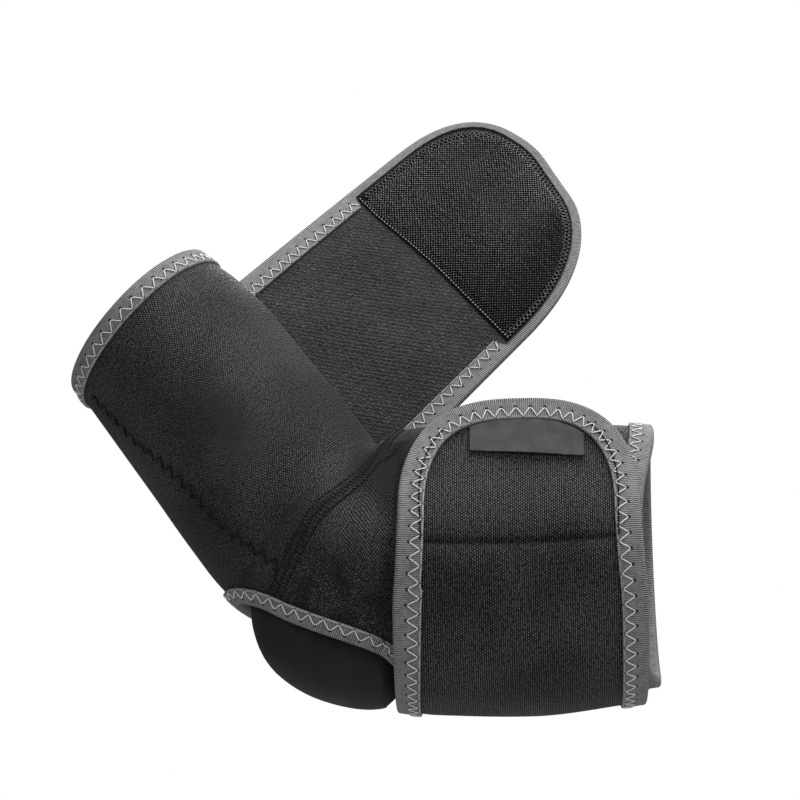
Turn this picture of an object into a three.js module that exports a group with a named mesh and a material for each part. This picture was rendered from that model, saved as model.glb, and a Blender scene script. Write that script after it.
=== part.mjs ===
// Elbow brace of knit-faced foam, shaped as it is worn on a bent arm, with the
// forearm strap opened and the upper-arm strap closed.
//
// Frame: the origin is where the forearm axis and the upper-arm axis cross, on the
// elbow's hinge axis. +X runs up the upper arm to the shoulder, +Z points to the
// crook side in the plane of the arm, and +Y is the elbow's hinge axis.
//
// The sleeve's surface is addressed by two numbers. "s" is the station along the
// arm: below zero on the forearm, 0 to BEND_SPAN round the elbow, above that on the
// upper arm. "theta" is the angle round the arm in degrees: 0 faces the outside of
// the arm (-Y), 90 the crook, 180 the inside of the arm and 270 the elbow tip.
import * as THREE from "three";
import { mergeVertices } from "three/addons/utils/BufferGeometryUtils.js";

// Sizes, in millimetres unless a name says degrees
const ELBOW_ANGLE_DEGREES = 126.25; // between the two arm axes
const FOREARM_LENGTH = 106.5; // from the bend to the forearm rim
const UPPER_ARM_LENGTH = 113; // from the bend to the upper-arm rim
const BEND_SPAN = 51.6; // stations that the bend takes up
const ARM_DEPTH = 114.2; // from the crook's spine to the upper arm's back
const ARM_WIDTH = 98; // across the upper arm, along Y
const FOREARM_DEPTH = 92; // from the crook's spine to the forearm's back
const FOREARM_WIDTH = 86; // across the forearm, along Y
const BEND_BACK_SWELL = 1.014; // back of the bend over the forearm's, at its start
const BEND_WIDTH_SWELL = 1.14; // and its width
const FOAM = 3; // thickness of the foam with its knit faces
const TAPE = 0.8; // thickness of the ribbed edge tape
const CLEARANCE = 0.4; // between pieces that are sewn or stuck together
const FOREARM_RIM_SLANT = 6.5; // the rim reaches further on the crook side
const UPPER_RIM_DIP = 8; // the rim draws back under the closed strap
const UPPER_RIM_DIP_MIDDLE_DEGREES = -25;
const UPPER_RIM_DIP_SPREAD_DEGREES = 60;
const RIM_TAPE_WIDTH = 8;
const UPPER_RIM_TAPE_WIDTH = 9;

const SEAM_STATION = 22.5; // where the two sleeve panels meet at the back
const SEAM_RISE = 36; // how far the seam drifts towards the shoulder at the crook
const SEAM_RISE_FROM_DEGREES = 90; // round from the back, where it starts to drift
const SEAM_RISE_TO_DEGREES = 165;
const SEAM_GAP = 0.4;
const LEAST_STATION_SPAN = 0.04; // true length of a station, at least this in the crook

const OPENING_CENTRE = 38; // station of the elbow opening's middle
const OPENING_HALF_LENGTH = 26.5; // in stations
const OPENING_HALF_ANGLE_DEGREES = 44; // round the arm
const OPENING_TAPE_WIDTH = 6.5;
const OPENING_TAPE_CLEARANCE = 0.8; // wider, as the cloth curves both ways there

const INSERT_CLOTH = 1; // thickness of the stretch panel in the opening
const INSERT_BULGE = 13.4; // rise of the elbow tip above the panel's seat
const INSERT_MARGIN = 1.16; // panel size over opening size
const INSERT_STRAP_PRESS = 0.45; // share of the bulge lost under the closed strap
const INSERT_PRESS_BEFORE = 9; // the press starts this far before the strap's edge
const INSERT_PRESS_AFTER = 1;
const INSERT_SHOULDER = 0.925; // share of the opening where the bulge starts
const INSERT_TIP_SHIFT = 5; // the tip sits this many stations past the middle

const STRAP_LIFT = 3.2; // from the sleeve to a strap's inner face
const STRAP_ROOT = 14; // length of the sewn-down end
const STRAP_ROOT_LIFT = 0.4;
const ROOT_SINKS_FROM = 0.4; // share of the root where it starts to lie down
const ROOT_NARROWS_TO = 0.6; // share of the root where it is at its narrowest
const STRAP_TAPE_WIDTH = 9.5;
const STRAP_TAPE_WIDTH_UNDER_PAD = 3.6;
const PAD_MARGIN = 4.7; // from the strap's edge to the hook pad
const PAD = 1.6; // thickness of the open hook pad
const PRESSED_PAD = 0.8; // the closed one, whose hooks are sunk in the knit
const PAD_EDGE_ROWS = [3, 1]; // rows of the strap this far before the pad's straight edge
const TAPE_STEP_BEFORE_PAD = 2; // the tape's inner leg narrows this far before it
const STRAP_ROOT_NARROWING = 12; // each side draws in by this at the root

const FOREARM_STRAP_HALF_WIDTH = 58.1;
const FOREARM_STRAP_LENGTH = 224.5; // from where it leaves the sleeve to its tip
const FOREARM_STRAP_ROUNDING = 67.5; // length of the rounded end
const FOREARM_STRAP_FROM_RIM = 59.5; // its middle where it leaves, from the rim
const FOREARM_STRAP_LEAVE_DEGREES = 192.8; // where it leaves the sleeve
const FOREARM_STRAP_SKEW = 0.175; // drift to the rim for each unit of length
const FOREARM_STRAP_TAPER = 0.006; // loss of half width for each unit of length
const FOREARM_STRAP_TWIST = 0.44; // lift of an edge at the tip for each unit of width
const FOREARM_STRAP_CURL = 2000; // radius of its bend away from the arm
const FOREARM_PAD_LENGTH = 84;
const FOREARM_STRAP_CENTRE = FOREARM_STRAP_FROM_RIM - FOREARM_LENGTH; // as a station

const UPPER_STRAP_HALF_WIDTH = 49.6;
const UPPER_STRAP_FLAP = 38.8; // length of the end that stands off the sleeve
const UPPER_STRAP_WRAP_DEGREES = 195; // how far it lies on the sleeve
const UPPER_STRAP_ROUNDING = 54.2;
const UPPER_STRAP_FROM_RIM = 55.4; // its middle, from the rim
const UPPER_STRAP_LEAVE_DEGREES = 20;
const UPPER_STRAP_SKEW = 0.017;
const UPPER_STRAP_TAPER = 0.047;
const UPPER_STRAP_TAPER_START = -63; // the sides run parallel before this place
const UPPER_STRAP_CURL = 900; // radius of the flap's bend towards the arm
const UPPER_PAD_LENGTH = 64;
const UPPER_STRAP_CENTRE = BEND_SPAN + UPPER_ARM_LENGTH - UPPER_STRAP_FROM_RIM;

const ROUND_END_POWER = 2.6; // 2 is an ellipse, higher is squarer
const ROUND_END_SKEW = 0.228; // the tip leans to one side
const LEAN_STARTS_BEFORE = 20; // from there to the start of the rounding
const LEAN_ENDS_AFTER = 16; // past the start of the rounding

const LABEL_LENGTH = 46.2;
const LABEL_WIDTH = 16.8; // its middle, down from the tape's edge
const LABEL = 0.7; // thickness of the woven label
const LABEL_SHIFT = 3.5; // from the strap's middle line
const LABEL_TILT = 0.085; // drop of its lower edge for each unit of length

// Fineness of the facets
const STEPS_AROUND = 36;
const FOREARM_ROWS = [1, 0.925, 0.83, 0.6, 0.36, 0.12]; // shares of FOREARM_LENGTH
const OPENING_STEPS = 6;
const UPPER_ROWS = [0.25, 0.5, 0.75, 0.9, 1]; // shares of the way to the rim
const STRAP_ACROSS = 8;
const ROUND_END_STEPS = 7;

// Sections of the arm. "along" is the share of the region's length. "crook" and
// "back" are distances from the crook's spine as shares of the region's depth, and
// "half" is half the width as a share of the region's width.
const FOREARM_SECTIONS = [
  { along: 1.04, crook: 0.127, back: 0.985, half: 0.458 },
  { along: 0.87, crook: 0.072, back: 0.988, half: 0.474 },
  { along: 0.65, crook: 0.042, back: 0.992, half: 0.486 },
  { along: 0.42, crook: 0.039, back: 1.0, half: 0.495 },
  { along: 0.19, crook: 0.035, back: 1.01, half: 0.5 },
];
const BEND_SECTIONS = [
  { along: 0.0, crook: 0.035, back: 0.816, half: 0.441 },
  { along: 0.186, crook: 0.038, back: 0.819, half: 0.444 },
  { along: 0.372, crook: 0.04, back: 0.852, half: 0.451 },
  { along: 0.558, crook: 0.04, back: 0.905, half: 0.464 },
  { along: 0.744, crook: 0.037, back: 0.935, half: 0.48 },
  { along: 1.0, crook: 0.024, back: 0.955, half: 0.493 },
];
const UPPER_SECTIONS = [
  { along: 0.07, crook: -0.01, back: 0.968, half: 0.498 },
  { along: 0.18, crook: -0.023, back: 0.985, half: 0.502 },
  { along: 0.53, crook: -0.021, back: 1.0, half: 0.504 },
  { along: 0.88, crook: -0.005, back: 0.965, half: 0.5 },
  { along: 1.04, crook: 0.012, back: 0.945, half: 0.49 },
];

const radians = THREE.MathUtils.degToRad;
const clamp = THREE.MathUtils.clamp;
const lerp = THREE.MathUtils.lerp;
const smooth = (x, low, high) => THREE.MathUtils.smoothstep(x, low, high);
// The same angle between -180 and 180 degrees
const wrapDegrees = (angle) => THREE.MathUtils.euclideanModulo(angle + 180, 360) - 180;
const ELBOW_TIP_DEGREES = -90;

// One list of sections in millimetres, from the forearm rim to the upper-arm rim
const SECTIONS = [
  ...FOREARM_SECTIONS.map((row) => ({
    s: -row.along * FOREARM_LENGTH,
    crook: row.crook * FOREARM_DEPTH,
    back: row.back * FOREARM_DEPTH,
    half: row.half * FOREARM_WIDTH,
  })),
  ...BEND_SECTIONS.map((row) => ({
    s: row.along * BEND_SPAN,
    crook: row.crook * ARM_DEPTH,
    back: lerp(
      (row.back / BEND_SECTIONS[0].back) * FOREARM_DEPTH * BEND_BACK_SWELL,
      row.back * ARM_DEPTH,
      row.along,
    ),
    half: row.half * lerp(FOREARM_WIDTH * BEND_WIDTH_SWELL, ARM_WIDTH, row.along),
  })),
  ...UPPER_SECTIONS.map((row) => ({
    s: BEND_SPAN + row.along * UPPER_ARM_LENGTH,
    crook: row.crook * ARM_DEPTH,
    back: row.back * ARM_DEPTH,
    half: row.half * ARM_WIDTH,
  })),
];

// A smooth curve through the sections that never overshoots them: a cubic in each
// span, with the harmonic mean of the two neighbouring slopes as its slope.
function sectionValue(s, key) {
  const last = SECTIONS.length - 1;
  let i = 0;
  while (i < last - 1 && s > SECTIONS[i + 1].s) i += 1;
  const slope = (k) =>
    (SECTIONS[k + 1][key] - SECTIONS[k][key]) / (SECTIONS[k + 1].s - SECTIONS[k].s);
  const knotSlope = (k) => {
    if (k === 0) return slope(0);
    if (k === last) return slope(last - 1);
    const before = slope(k - 1);
    const after = slope(k);
    return before * after <= 0 ? 0 : (2 * before * after) / (before + after);
  };
  const a = SECTIONS[i];
  const b = SECTIONS[i + 1];
  const h = b.s - a.s;
  const x = clamp((s - a.s) / h, 0, 1);
  return (
    a[key] * (1 + 2 * x) * (1 - x) ** 2 +
    h * knotSlope(i) * x * (1 - x) ** 2 +
    b[key] * x * x * (3 - 2 * x) +
    h * knotSlope(i + 1) * x * x * (x - 1)
  );
}

// The spine lies just outside the crook. Its place makes the axes of the middle
// forearm section and the middle upper-arm section cross at the origin.
const ELBOW_ANGLE = radians(ELBOW_ANGLE_DEGREES);
const FOREARM_WAY = new THREE.Vector3(Math.cos(ELBOW_ANGLE), 0, Math.sin(ELBOW_ANGLE));
const UPPER_WAY = new THREE.Vector3(1, 0, 0);
const BEND_TURN = Math.PI - ELBOW_ANGLE;
const SPINE = (() => {
  const axisDepth = (row) => (row.crook + row.back) / 2;
  const forearm = axisDepth(SECTIONS[3]);
  const upper = axisDepth(SECTIONS[FOREARM_SECTIONS.length + BEND_SECTIONS.length + 2]);
  const x = (forearm + upper * Math.cos(ELBOW_ANGLE)) / Math.sin(ELBOW_ANGLE);
  return new THREE.Vector3(x, 0, upper);
})();

// Point of the sleeve's outer surface before any offset
function sleeveBase(s, theta) {
  const turn = ELBOW_ANGLE + Math.PI / 2 + BEND_TURN * clamp(s / BEND_SPAN, 0, 1);
  const ray = new THREE.Vector3(Math.cos(turn), 0, Math.sin(turn));
  const crook = sectionValue(s, "crook");
  const back = sectionValue(s, "back");
  const half = sectionValue(s, "half");
  const a = radians(theta);
  const reach = (crook + back) / 2 - ((back - crook) / 2) * Math.sin(a);
  return SPINE.clone()
    .addScaledVector(FOREARM_WAY, -Math.min(s, 0))
    .addScaledVector(UPPER_WAY, Math.max(s - BEND_SPAN, 0))
    .addScaledVector(ray, reach)
    .add(new THREE.Vector3(0, -half * Math.cos(a), 0));
}

// Outward normal and the two tangents, by small steps
function sleeveFrame(s, theta) {
  const step = 0.02;
  const along = sleeveBase(s + step, theta).sub(sleeveBase(s - step, theta));
  const around = sleeveBase(s, theta + step).sub(sleeveBase(s, theta - step));
  const normal = new THREE.Vector3().crossVectors(along, around).normalize();
  return { normal, around: around.normalize() };
}

function sleevePoint(s, theta, offset) {
  return sleeveBase(s, theta).addScaledVector(sleeveFrame(s, theta).normal, offset);
}

// Closed solid from a grid of points on two faces. point(i, j, face) gives the
// place, face 0 is the outer face and face 1 the inner one. wall(i) says whether
// the sides j = 0 and j = columns stand open between rows i and i + 1.
function sheetSolid({ rows, columns, point, ends = true, wall = () => true }) {
  const places = [];
  const faces = [];
  const id = (i, j, face) => face * (rows + 1) * (columns + 1) + i * (columns + 1) + j;
  for (const face of [0, 1]) {
    for (let i = 0; i <= rows; i += 1) {
      for (let j = 0; j <= columns; j += 1) places.push(...point(i, j, face).toArray());
    }
  }
  const quad = (a, b, c, d) => faces.push(a, b, c, a, c, d);
  for (let i = 0; i < rows; i += 1) {
    for (let j = 0; j < columns; j += 1) {
      quad(id(i, j, 0), id(i, j + 1, 0), id(i + 1, j + 1, 0), id(i + 1, j, 0));
      quad(id(i, j, 1), id(i + 1, j, 1), id(i + 1, j + 1, 1), id(i, j + 1, 1));
    }
    if (wall(i)) {
      quad(id(i, 0, 0), id(i + 1, 0, 0), id(i + 1, 0, 1), id(i, 0, 1));
      quad(id(i, columns, 0), id(i, columns, 1), id(i + 1, columns, 1), id(i + 1, columns, 0));
    }
  }
  if (ends) {
    for (let j = 0; j < columns; j += 1) {
      quad(id(0, j, 0), id(0, j, 1), id(0, j + 1, 1), id(0, j + 1, 0));
      quad(id(rows, j, 0), id(rows, j + 1, 0), id(rows, j + 1, 1), id(rows, j, 1));
    }
  }
  return closedGeometry(places, faces);
}

// Closed solid swept by rings of points, with flat ends unless the sweep closes
function ringSolid(rings, closed) {
  const size = rings[0].length;
  const places = rings.flat().flatMap((place) => place.toArray());
  const faces = [];
  const spans = closed ? rings.length : rings.length - 1;
  for (let i = 0; i < spans; i += 1) {
    const next = (i + 1) % rings.length;
    for (let k = 0; k < size; k += 1) {
      const m = (k + 1) % size;
      const [a, b, c, d] = [i * size + k, i * size + m, next * size + m, next * size + k];
      faces.push(a, b, c, a, c, d);
    }
  }
  if (!closed) {
    const outline = TAPE_CAP_FACES;
    const end = (rings.length - 1) * size;
    for (const [a, b, c] of outline) {
      faces.push(a, c, b);
      faces.push(end + a, end + b, end + c);
    }
  }
  return closedGeometry(places, faces);
}

// Shared vertices, no collapsed triangles, and faces that point outwards
function closedGeometry(places, faces) {
  const loose = new THREE.BufferGeometry();
  loose.setAttribute("position", new THREE.Float32BufferAttribute(places, 3));
  loose.setIndex(faces);
  const merged = mergeVertices(loose, 1e-3);
  const index = merged.getIndex();
  const position = merged.getAttribute("position");
  const kept = [];
  let volume = 0;
  const [p, q, r] = [new THREE.Vector3(), new THREE.Vector3(), new THREE.Vector3()];
  for (let k = 0; k < index.count; k += 3) {
    const [a, b, c] = [index.getX(k), index.getX(k + 1), index.getX(k + 2)];
    if (a === b || b === c || a === c) continue;
    kept.push([a, b, c]);
    p.fromBufferAttribute(position, a);
    q.fromBufferAttribute(position, b);
    r.fromBufferAttribute(position, c);
    volume += p.dot(q.clone().cross(r));
  }
  if (volume < 0) kept.forEach((face) => face.reverse());
  const solid = new THREE.BufferGeometry();
  solid.setAttribute("position", position);
  solid.setIndex(kept.flat());
  solid.computeVertexNormals();
  return solid;
}

// Section of a tape folded over an edge, as [inward, offset] pairs. The edge is at
// inward 0 with the cloth between offset 0 and -thickness.
function tapeSection(outerWidth, innerWidth, thickness, near = CLEARANCE) {
  const far = near + TAPE;
  return [
    [outerWidth, near],
    [outerWidth, far],
    [-far, far],
    [-far, -thickness - far],
    [innerWidth, -thickness - far],
    [innerWidth, -thickness - near],
    [-near, -thickness - near],
    [-near, near],
  ];
}
const TAPE_CAP_FACES = [
  [0, 1, 7],
  [1, 2, 7],
  [2, 3, 7],
  [3, 6, 7],
  [3, 4, 5],
  [3, 5, 6],
];

// Step inwards from an edge by a true distance. place(u, v) is the surface, [u, v]
// the edge point, [du, dv] the edge's way and side picks the inward side.
function inset(place, [u, v], [du, dv], side, distance) {
  const h = 0.05;
  const alongU = place(u + h, v).sub(place(u - h, v)).divideScalar(2 * h);
  const alongV = place(u, v + h).sub(place(u, v - h)).divideScalar(2 * h);
  const uu = alongU.dot(alongU);
  const uv = alongU.dot(alongV);
  const vv = alongV.dot(alongV);
  const nu = -(uv * du + vv * dv);
  const nv = uu * du + uv * dv;
  const size = Math.sqrt(uu * nu * nu + 2 * uv * nu * nv + vv * nv * nv);
  return [u + (side * distance * nu) / size, v + (side * distance * nv) / size];
}

// Seam between the two sleeve panels: a ring at the back that drifts at the crook
function seamStation(theta) {
  const fromBack = Math.abs(wrapDegrees(theta - ELBOW_TIP_DEGREES));
  return SEAM_STATION + SEAM_RISE * smooth(fromBack, SEAM_RISE_FROM_DEGREES, SEAM_RISE_TO_DEGREES);
}
// Half the gap between the panels, in stations. A station is short at the crook.
function halfSeamGap(theta) {
  const s = seamStation(theta);
  const span = sleeveBase(s + 0.5, theta).distanceTo(sleeveBase(s - 0.5, theta));
  return SEAM_GAP / 2 / Math.max(span, LEAST_STATION_SPAN);
}
function forearmRim(theta) {
  return -FOREARM_LENGTH - FOREARM_RIM_SLANT * Math.sin(radians(theta));
}
function upperRim(theta) {
  const away = wrapDegrees(theta - UPPER_RIM_DIP_MIDDLE_DEGREES);
  const dip = UPPER_RIM_DIP * Math.exp(-((away / UPPER_RIM_DIP_SPREAD_DEGREES) ** 4));
  return BEND_SPAN + UPPER_ARM_LENGTH - dip;
}

// The opening is an ellipse round the elbow tip in station and angle
function openingHalfAngle(s) {
  const x = (s - OPENING_CENTRE) / OPENING_HALF_LENGTH;
  return OPENING_HALF_ANGLE_DEGREES * Math.sqrt(Math.max(0, 1 - x * x));
}

// Rows of stations across one end of the opening, closer near its tip
function openingRows(from, to) {
  const start = Math.asin(clamp((from - OPENING_CENTRE) / OPENING_HALF_LENGTH, -1, 1));
  const end = Math.asin(clamp((to - OPENING_CENTRE) / OPENING_HALF_LENGTH, -1, 1));
  const count = Math.max(3, Math.round((OPENING_STEPS * (end - start)) / 2) * 2);
  return Array.from(
    { length: count + 1 },
    (_, k) => OPENING_CENTRE + OPENING_HALF_LENGTH * Math.sin(lerp(start, end, k / count)),
  );
}

// A sleeve panel with its share of the opening cut into the elbow side
function sleevePanel(stations, warp) {
  const openFrom = OPENING_CENTRE - OPENING_HALF_LENGTH;
  const openTo = OPENING_CENTRE + OPENING_HALF_LENGTH;
  const isOpen = (s) => s > openFrom + 1e-6 && s < openTo - 1e-6;
  const point = (i, j, face) => {
    const half = openingHalfAngle(stations[i]);
    const theta = -90 + half + (360 - 2 * half) * (j / STEPS_AROUND);
    return sleevePoint(warp(stations[i], theta), theta, face === 0 ? 0 : -FOAM);
  };
  return sheetSolid({
    rows: stations.length - 1,
    columns: STEPS_AROUND,
    point,
    wall: (i) => isOpen(stations[i]) || isOpen(stations[i + 1]),
  });
}

function forearmSleeve() {
  const stations = [
    ...FOREARM_ROWS.map((share) => -share * FOREARM_LENGTH),
    ...openingRows(OPENING_CENTRE - OPENING_HALF_LENGTH, SEAM_STATION),
  ];
  // The rows slant to meet the rim and drift to meet the seam
  const warp = (s, theta) => {
    const towardsRim = clamp(-s / FOREARM_LENGTH, 0, 1);
    const towardsSeam = clamp((s + FOREARM_LENGTH) / (SEAM_STATION + FOREARM_LENGTH), 0, 1);
    const rimShift = forearmRim(theta) + FOREARM_LENGTH;
    const seamShift = seamStation(theta) - SEAM_STATION - halfSeamGap(theta);
    return s + rimShift * towardsRim + seamShift * towardsSeam ** 3;
  };
  return sleevePanel(stations, warp);
}

function upperArmSleeve() {
  const openTo = OPENING_CENTRE + OPENING_HALF_LENGTH;
  const end = BEND_SPAN + UPPER_ARM_LENGTH;
  const stations = [
    ...openingRows(SEAM_STATION, openTo),
    ...UPPER_ROWS.map((share) => lerp(openTo, end, share)),
  ];
  const warp = (s, theta) => {
    const towardsRim = clamp((s - openTo) / (end - openTo), 0, 1);
    const towardsSeam = clamp((openTo - s) / (openTo - SEAM_STATION), 0, 1);
    const rimShift = upperRim(theta) - end;
    const seamShift = seamStation(theta) - SEAM_STATION + halfSeamGap(theta);
    return s + rimShift * towardsRim + seamShift * towardsSeam;
  };
  return sleevePanel(stations, warp);
}

// Tape folded over a sleeve edge, a closed run of [station, angle] points. side
// says on which side of the edge's way the cloth lies.
function sleeveTape(edge, side, width, clearance = CLEARANCE) {
  const section = tapeSection(width, width, FOAM, clearance);
  const count = edge.length;
  const rings = edge.map((place, k) => {
    const before = edge[(k + count - 1) % count];
    const after = edge[(k + 1) % count];
    const turn = wrapDegrees(after[1] - before[1]);
    return section.map(([inward, offset]) => {
      const way = [after[0] - before[0], turn];
      const [s, theta] = inset(sleeveBase, place, way, side, inward);
      return sleevePoint(s, theta, offset);
    });
  });
  return ringSolid(rings, true);
}

function rimEdge(rim) {
  return Array.from({ length: STEPS_AROUND }, (_, k) => {
    const theta = (360 * k) / STEPS_AROUND - 90;
    return [rim(theta), theta];
  });
}

function forearmRimBinding() {
  return sleeveTape(rimEdge(forearmRim), -1, RIM_TAPE_WIDTH);
}

function upperArmRimBinding() {
  return sleeveTape(rimEdge(upperRim), 1, UPPER_RIM_TAPE_WIDTH);
}

function elbowOpeningBinding() {
  const openFrom = OPENING_CENTRE - OPENING_HALF_LENGTH;
  const openTo = OPENING_CENTRE + OPENING_HALF_LENGTH;
  const stations = [
    ...openingRows(openFrom, SEAM_STATION),
    ...openingRows(SEAM_STATION, openTo).slice(1),
  ];
  const outward = stations.map((s) => [s, -90 + openingHalfAngle(s)]);
  const back = stations.slice(1, -1).reverse().map((s) => [s, -90 - openingHalfAngle(s)]);
  return sleeveTape([...outward, ...back], 1, OPENING_TAPE_WIDTH, OPENING_TAPE_CLEARANCE);
}

// Stretch panel: its border lies inside the sleeve, its middle domes out through
// the opening over the elbow tip
function elbowInsert() {
  const seat = -(FOAM + OPENING_TAPE_CLEARANCE + TAPE + 2 * CLEARANCE);
  const rings = [0, 0.25, 0.5, 0.7, 0.83, 0.94, INSERT_MARGIN];
  const point = (i, j, face) => {
    const share = rings[i];
    const a = (2 * Math.PI * j) / STEPS_AROUND;
    const rise = clamp((INSERT_SHOULDER - share) / INSERT_SHOULDER, 0, 1);
    const s =
      OPENING_CENTRE - share * OPENING_HALF_LENGTH * Math.cos(a) + INSERT_TIP_SHIFT * rise ** 2;
    const strapEdge = UPPER_STRAP_CENTRE - UPPER_STRAP_HALF_WIDTH;
    const underStrap = smooth(s, strapEdge - INSERT_PRESS_BEFORE, strapEdge + INSERT_PRESS_AFTER);
    const pressed = 1 - INSERT_STRAP_PRESS * underStrap;
    const dome = INSERT_BULGE * pressed * (1 - (1 - rise) ** 3);
    const theta = -90 + share * OPENING_HALF_ANGLE_DEGREES * Math.sin(a);
    return sleevePoint(s, theta, seat + dome - (face === 0 ? 0 : INSERT_CLOTH));
  };
  // The rim of the last ring is the only open side of this polar grid
  const geometry = polarSolid(rings.length - 1, STEPS_AROUND, point);
  return geometry;
}

// Closed solid from a polar grid: row 0 is one point, the last row is the border
function polarSolid(rows, columns, point) {
  const places = [];
  const faces = [];
  const id = (i, j, face) => face * (rows + 1) * columns + i * columns + (j % columns);
  for (const face of [0, 1]) {
    for (let i = 0; i <= rows; i += 1) {
      for (let j = 0; j < columns; j += 1) places.push(...point(i, j, face).toArray());
    }
  }
  const quad = (a, b, c, d) => faces.push(a, b, c, a, c, d);
  for (let j = 0; j < columns; j += 1) {
    for (let i = 0; i < rows; i += 1) {
      quad(id(i, j, 0), id(i + 1, j, 0), id(i + 1, j + 1, 0), id(i, j + 1, 0));
      quad(id(i, j, 1), id(i, j + 1, 1), id(i + 1, j + 1, 1), id(i + 1, j, 1));
    }
    quad(id(rows, j, 0), id(rows, j, 1), id(rows, j + 1, 1), id(rows, j + 1, 0));
  }
  return closedGeometry(places, faces);
}

// A strap in its own flat coordinates. "t" runs from the line where the strap
// leaves the sleeve (0) to its tip, and is negative where it lies on the sleeve.
// "w" runs across it, towards the forearm rim or the shoulder.
const FOREARM_STRAP = {
  centre: FOREARM_STRAP_CENTRE,
  across: -1,
  skew: -FOREARM_STRAP_SKEW,
  leave: FOREARM_STRAP_LEAVE_DEGREES,
  wrapWay: -1,
  wrapped: 0,
  curl: -FOREARM_STRAP_CURL,
  twist: FOREARM_STRAP_TWIST,
  halfWidth: FOREARM_STRAP_HALF_WIDTH,
  taper: FOREARM_STRAP_TAPER,
  taperStart: 0,
  tip: FOREARM_STRAP_LENGTH,
  rounding: FOREARM_STRAP_ROUNDING,
  padLength: FOREARM_PAD_LENGTH,
  pad: PAD,
  tipSkew: ROUND_END_SKEW,
  bodyRows: 8,
};
const UPPER_STRAP = {
  centre: UPPER_STRAP_CENTRE,
  across: 1,
  skew: UPPER_STRAP_SKEW,
  leave: UPPER_STRAP_LEAVE_DEGREES,
  wrapWay: 1,
  wrapped: wrapLength(UPPER_STRAP_CENTRE, UPPER_STRAP_LEAVE_DEGREES, UPPER_STRAP_WRAP_DEGREES),
  curl: UPPER_STRAP_CURL,
  twist: 0,
  halfWidth: UPPER_STRAP_HALF_WIDTH,
  taper: UPPER_STRAP_TAPER,
  taperStart: UPPER_STRAP_TAPER_START,
  tip: UPPER_STRAP_FLAP,
  rounding: UPPER_STRAP_ROUNDING,
  padLength: UPPER_PAD_LENGTH,
  pad: PRESSED_PAD,
  tipSkew: 0,
  bodyRows: 22,
};

// Length of a wrap on the sleeve, measured at the strap's mid-thickness
function wrapLength(s, leave, degrees) {
  const step = 2;
  let length = 0;
  for (let x = 0; x < degrees; x += step) {
    const size = Math.min(step, degrees - x);
    const from = sleevePoint(s, leave - x, STRAP_LIFT + FOAM / 2);
    length += from.distanceTo(sleevePoint(s, leave - x - size, STRAP_LIFT + FOAM / 2));
  }
  return length;
}

// Angle round the sleeve that lies a given length before the leaving line
function wrapAngle(strap, s, t) {
  const step = 3;
  let left = -t;
  let theta = strap.leave;
  while (left > 0) {
    const from = sleevePoint(s, theta, STRAP_LIFT + FOAM / 2);
    const next = theta - strap.wrapWay * step;
    const length = from.distanceTo(sleevePoint(s, next, STRAP_LIFT + FOAM / 2));
    if (length >= left) return theta - (strap.wrapWay * step * left) / length;
    left -= length;
    theta = next;
  }
  return theta;
}

// Place of a strap point. offset 0 is the outer face and -FOAM the inner face.
function strapPoint(strap, t, w, offset) {
  const s = strap.centre + strap.across * w + strap.skew * t;
  const sewn = -strap.wrapped - t;
  const lift = lerp(STRAP_LIFT, STRAP_ROOT_LIFT, smooth(sewn, STRAP_ROOT * ROOT_SINKS_FROM, STRAP_ROOT));
  const height = lift + FOAM + offset;
  if (t <= 0) {
    return sleevePoint(s, wrapAngle(strap, strap.centre, t), height);
  }
  const { normal, around } = sleeveFrame(strap.centre, strap.leave);
  const bend = t / strap.curl;
  const rise = strap.twist * (t / strap.tip) * w;
  return sleevePoint(s, strap.leave, 0)
    .addScaledVector(around, strap.wrapWay * (strap.curl + height) * Math.sin(bend))
    .addScaledVector(normal, (strap.curl + height) * Math.cos(bend) - strap.curl + rise);
}

// Half the width at t, without the rounded end
function strapHalf(strap, t) {
  const narrowing = strap.taper * Math.max(0, t - strap.taperStart);
  const sewn = smooth(-strap.wrapped - t, 0, STRAP_ROOT * ROOT_NARROWS_TO);
  return strap.halfWidth - narrowing - STRAP_ROOT_NARROWING * sewn;
}

// Rows of the strap: place along it and half width there. The rounded end is a
// superellipse, stepped evenly round its curve. "margin" draws the outline in.
function strapRows(strap, from, bodyRows, margin) {
  const start = strap.tip - strap.rounding;
  const half = (t) => strapHalf(strap, t) - margin;
  const places = Array.from({ length: bodyRows }, (_, k) => lerp(from, start, k / bodyRows));
  const padEdge = strap.tip - strap.padLength;
  const extra = PAD_EDGE_ROWS.map((before) => padEdge - before).filter((t) => t > from);
  const lean = (t) => smooth(t, start - LEAN_STARTS_BEFORE, start + LEAN_ENDS_AFTER);
  const rows = [...places, ...extra]
    .sort((a, b) => a - b)
    .map((t) => ({ t, half: half(t), lean: lean(t) }));
  for (let k = 0; k <= ROUND_END_STEPS; k += 1) {
    const a = (Math.PI / 2) * (k / ROUND_END_STEPS);
    const reach = Math.sin(a) ** (2 / ROUND_END_POWER);
    const width = Math.max(0, Math.cos(a)) ** (2 / ROUND_END_POWER);
    const t = start + (strap.rounding - margin) * reach;
    rows.push({ t, half: k === ROUND_END_STEPS ? 0 : half(start) * width, lean: lean(t) });
  }
  return rows;
}

// The tip leans to one side: points move along the strap by a share of w
function leaned(strap, row, w) {
  return row.t + strap.tipSkew * w * row.lean;
}

function strapRootT(strap) {
  return -strap.wrapped - STRAP_ROOT;
}

function strapBodyRows(strap) {
  const root = strapRootT(strap);
  const sewnTo = -strap.wrapped;
  return [
    { t: root, half: strapHalf(strap, root), lean: 0 },
    { t: (root + sewnTo) / 2, half: strapHalf(strap, (root + sewnTo) / 2), lean: 0 },
    ...strapRows(strap, sewnTo, strap.bodyRows, 0),
  ];
}

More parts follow.
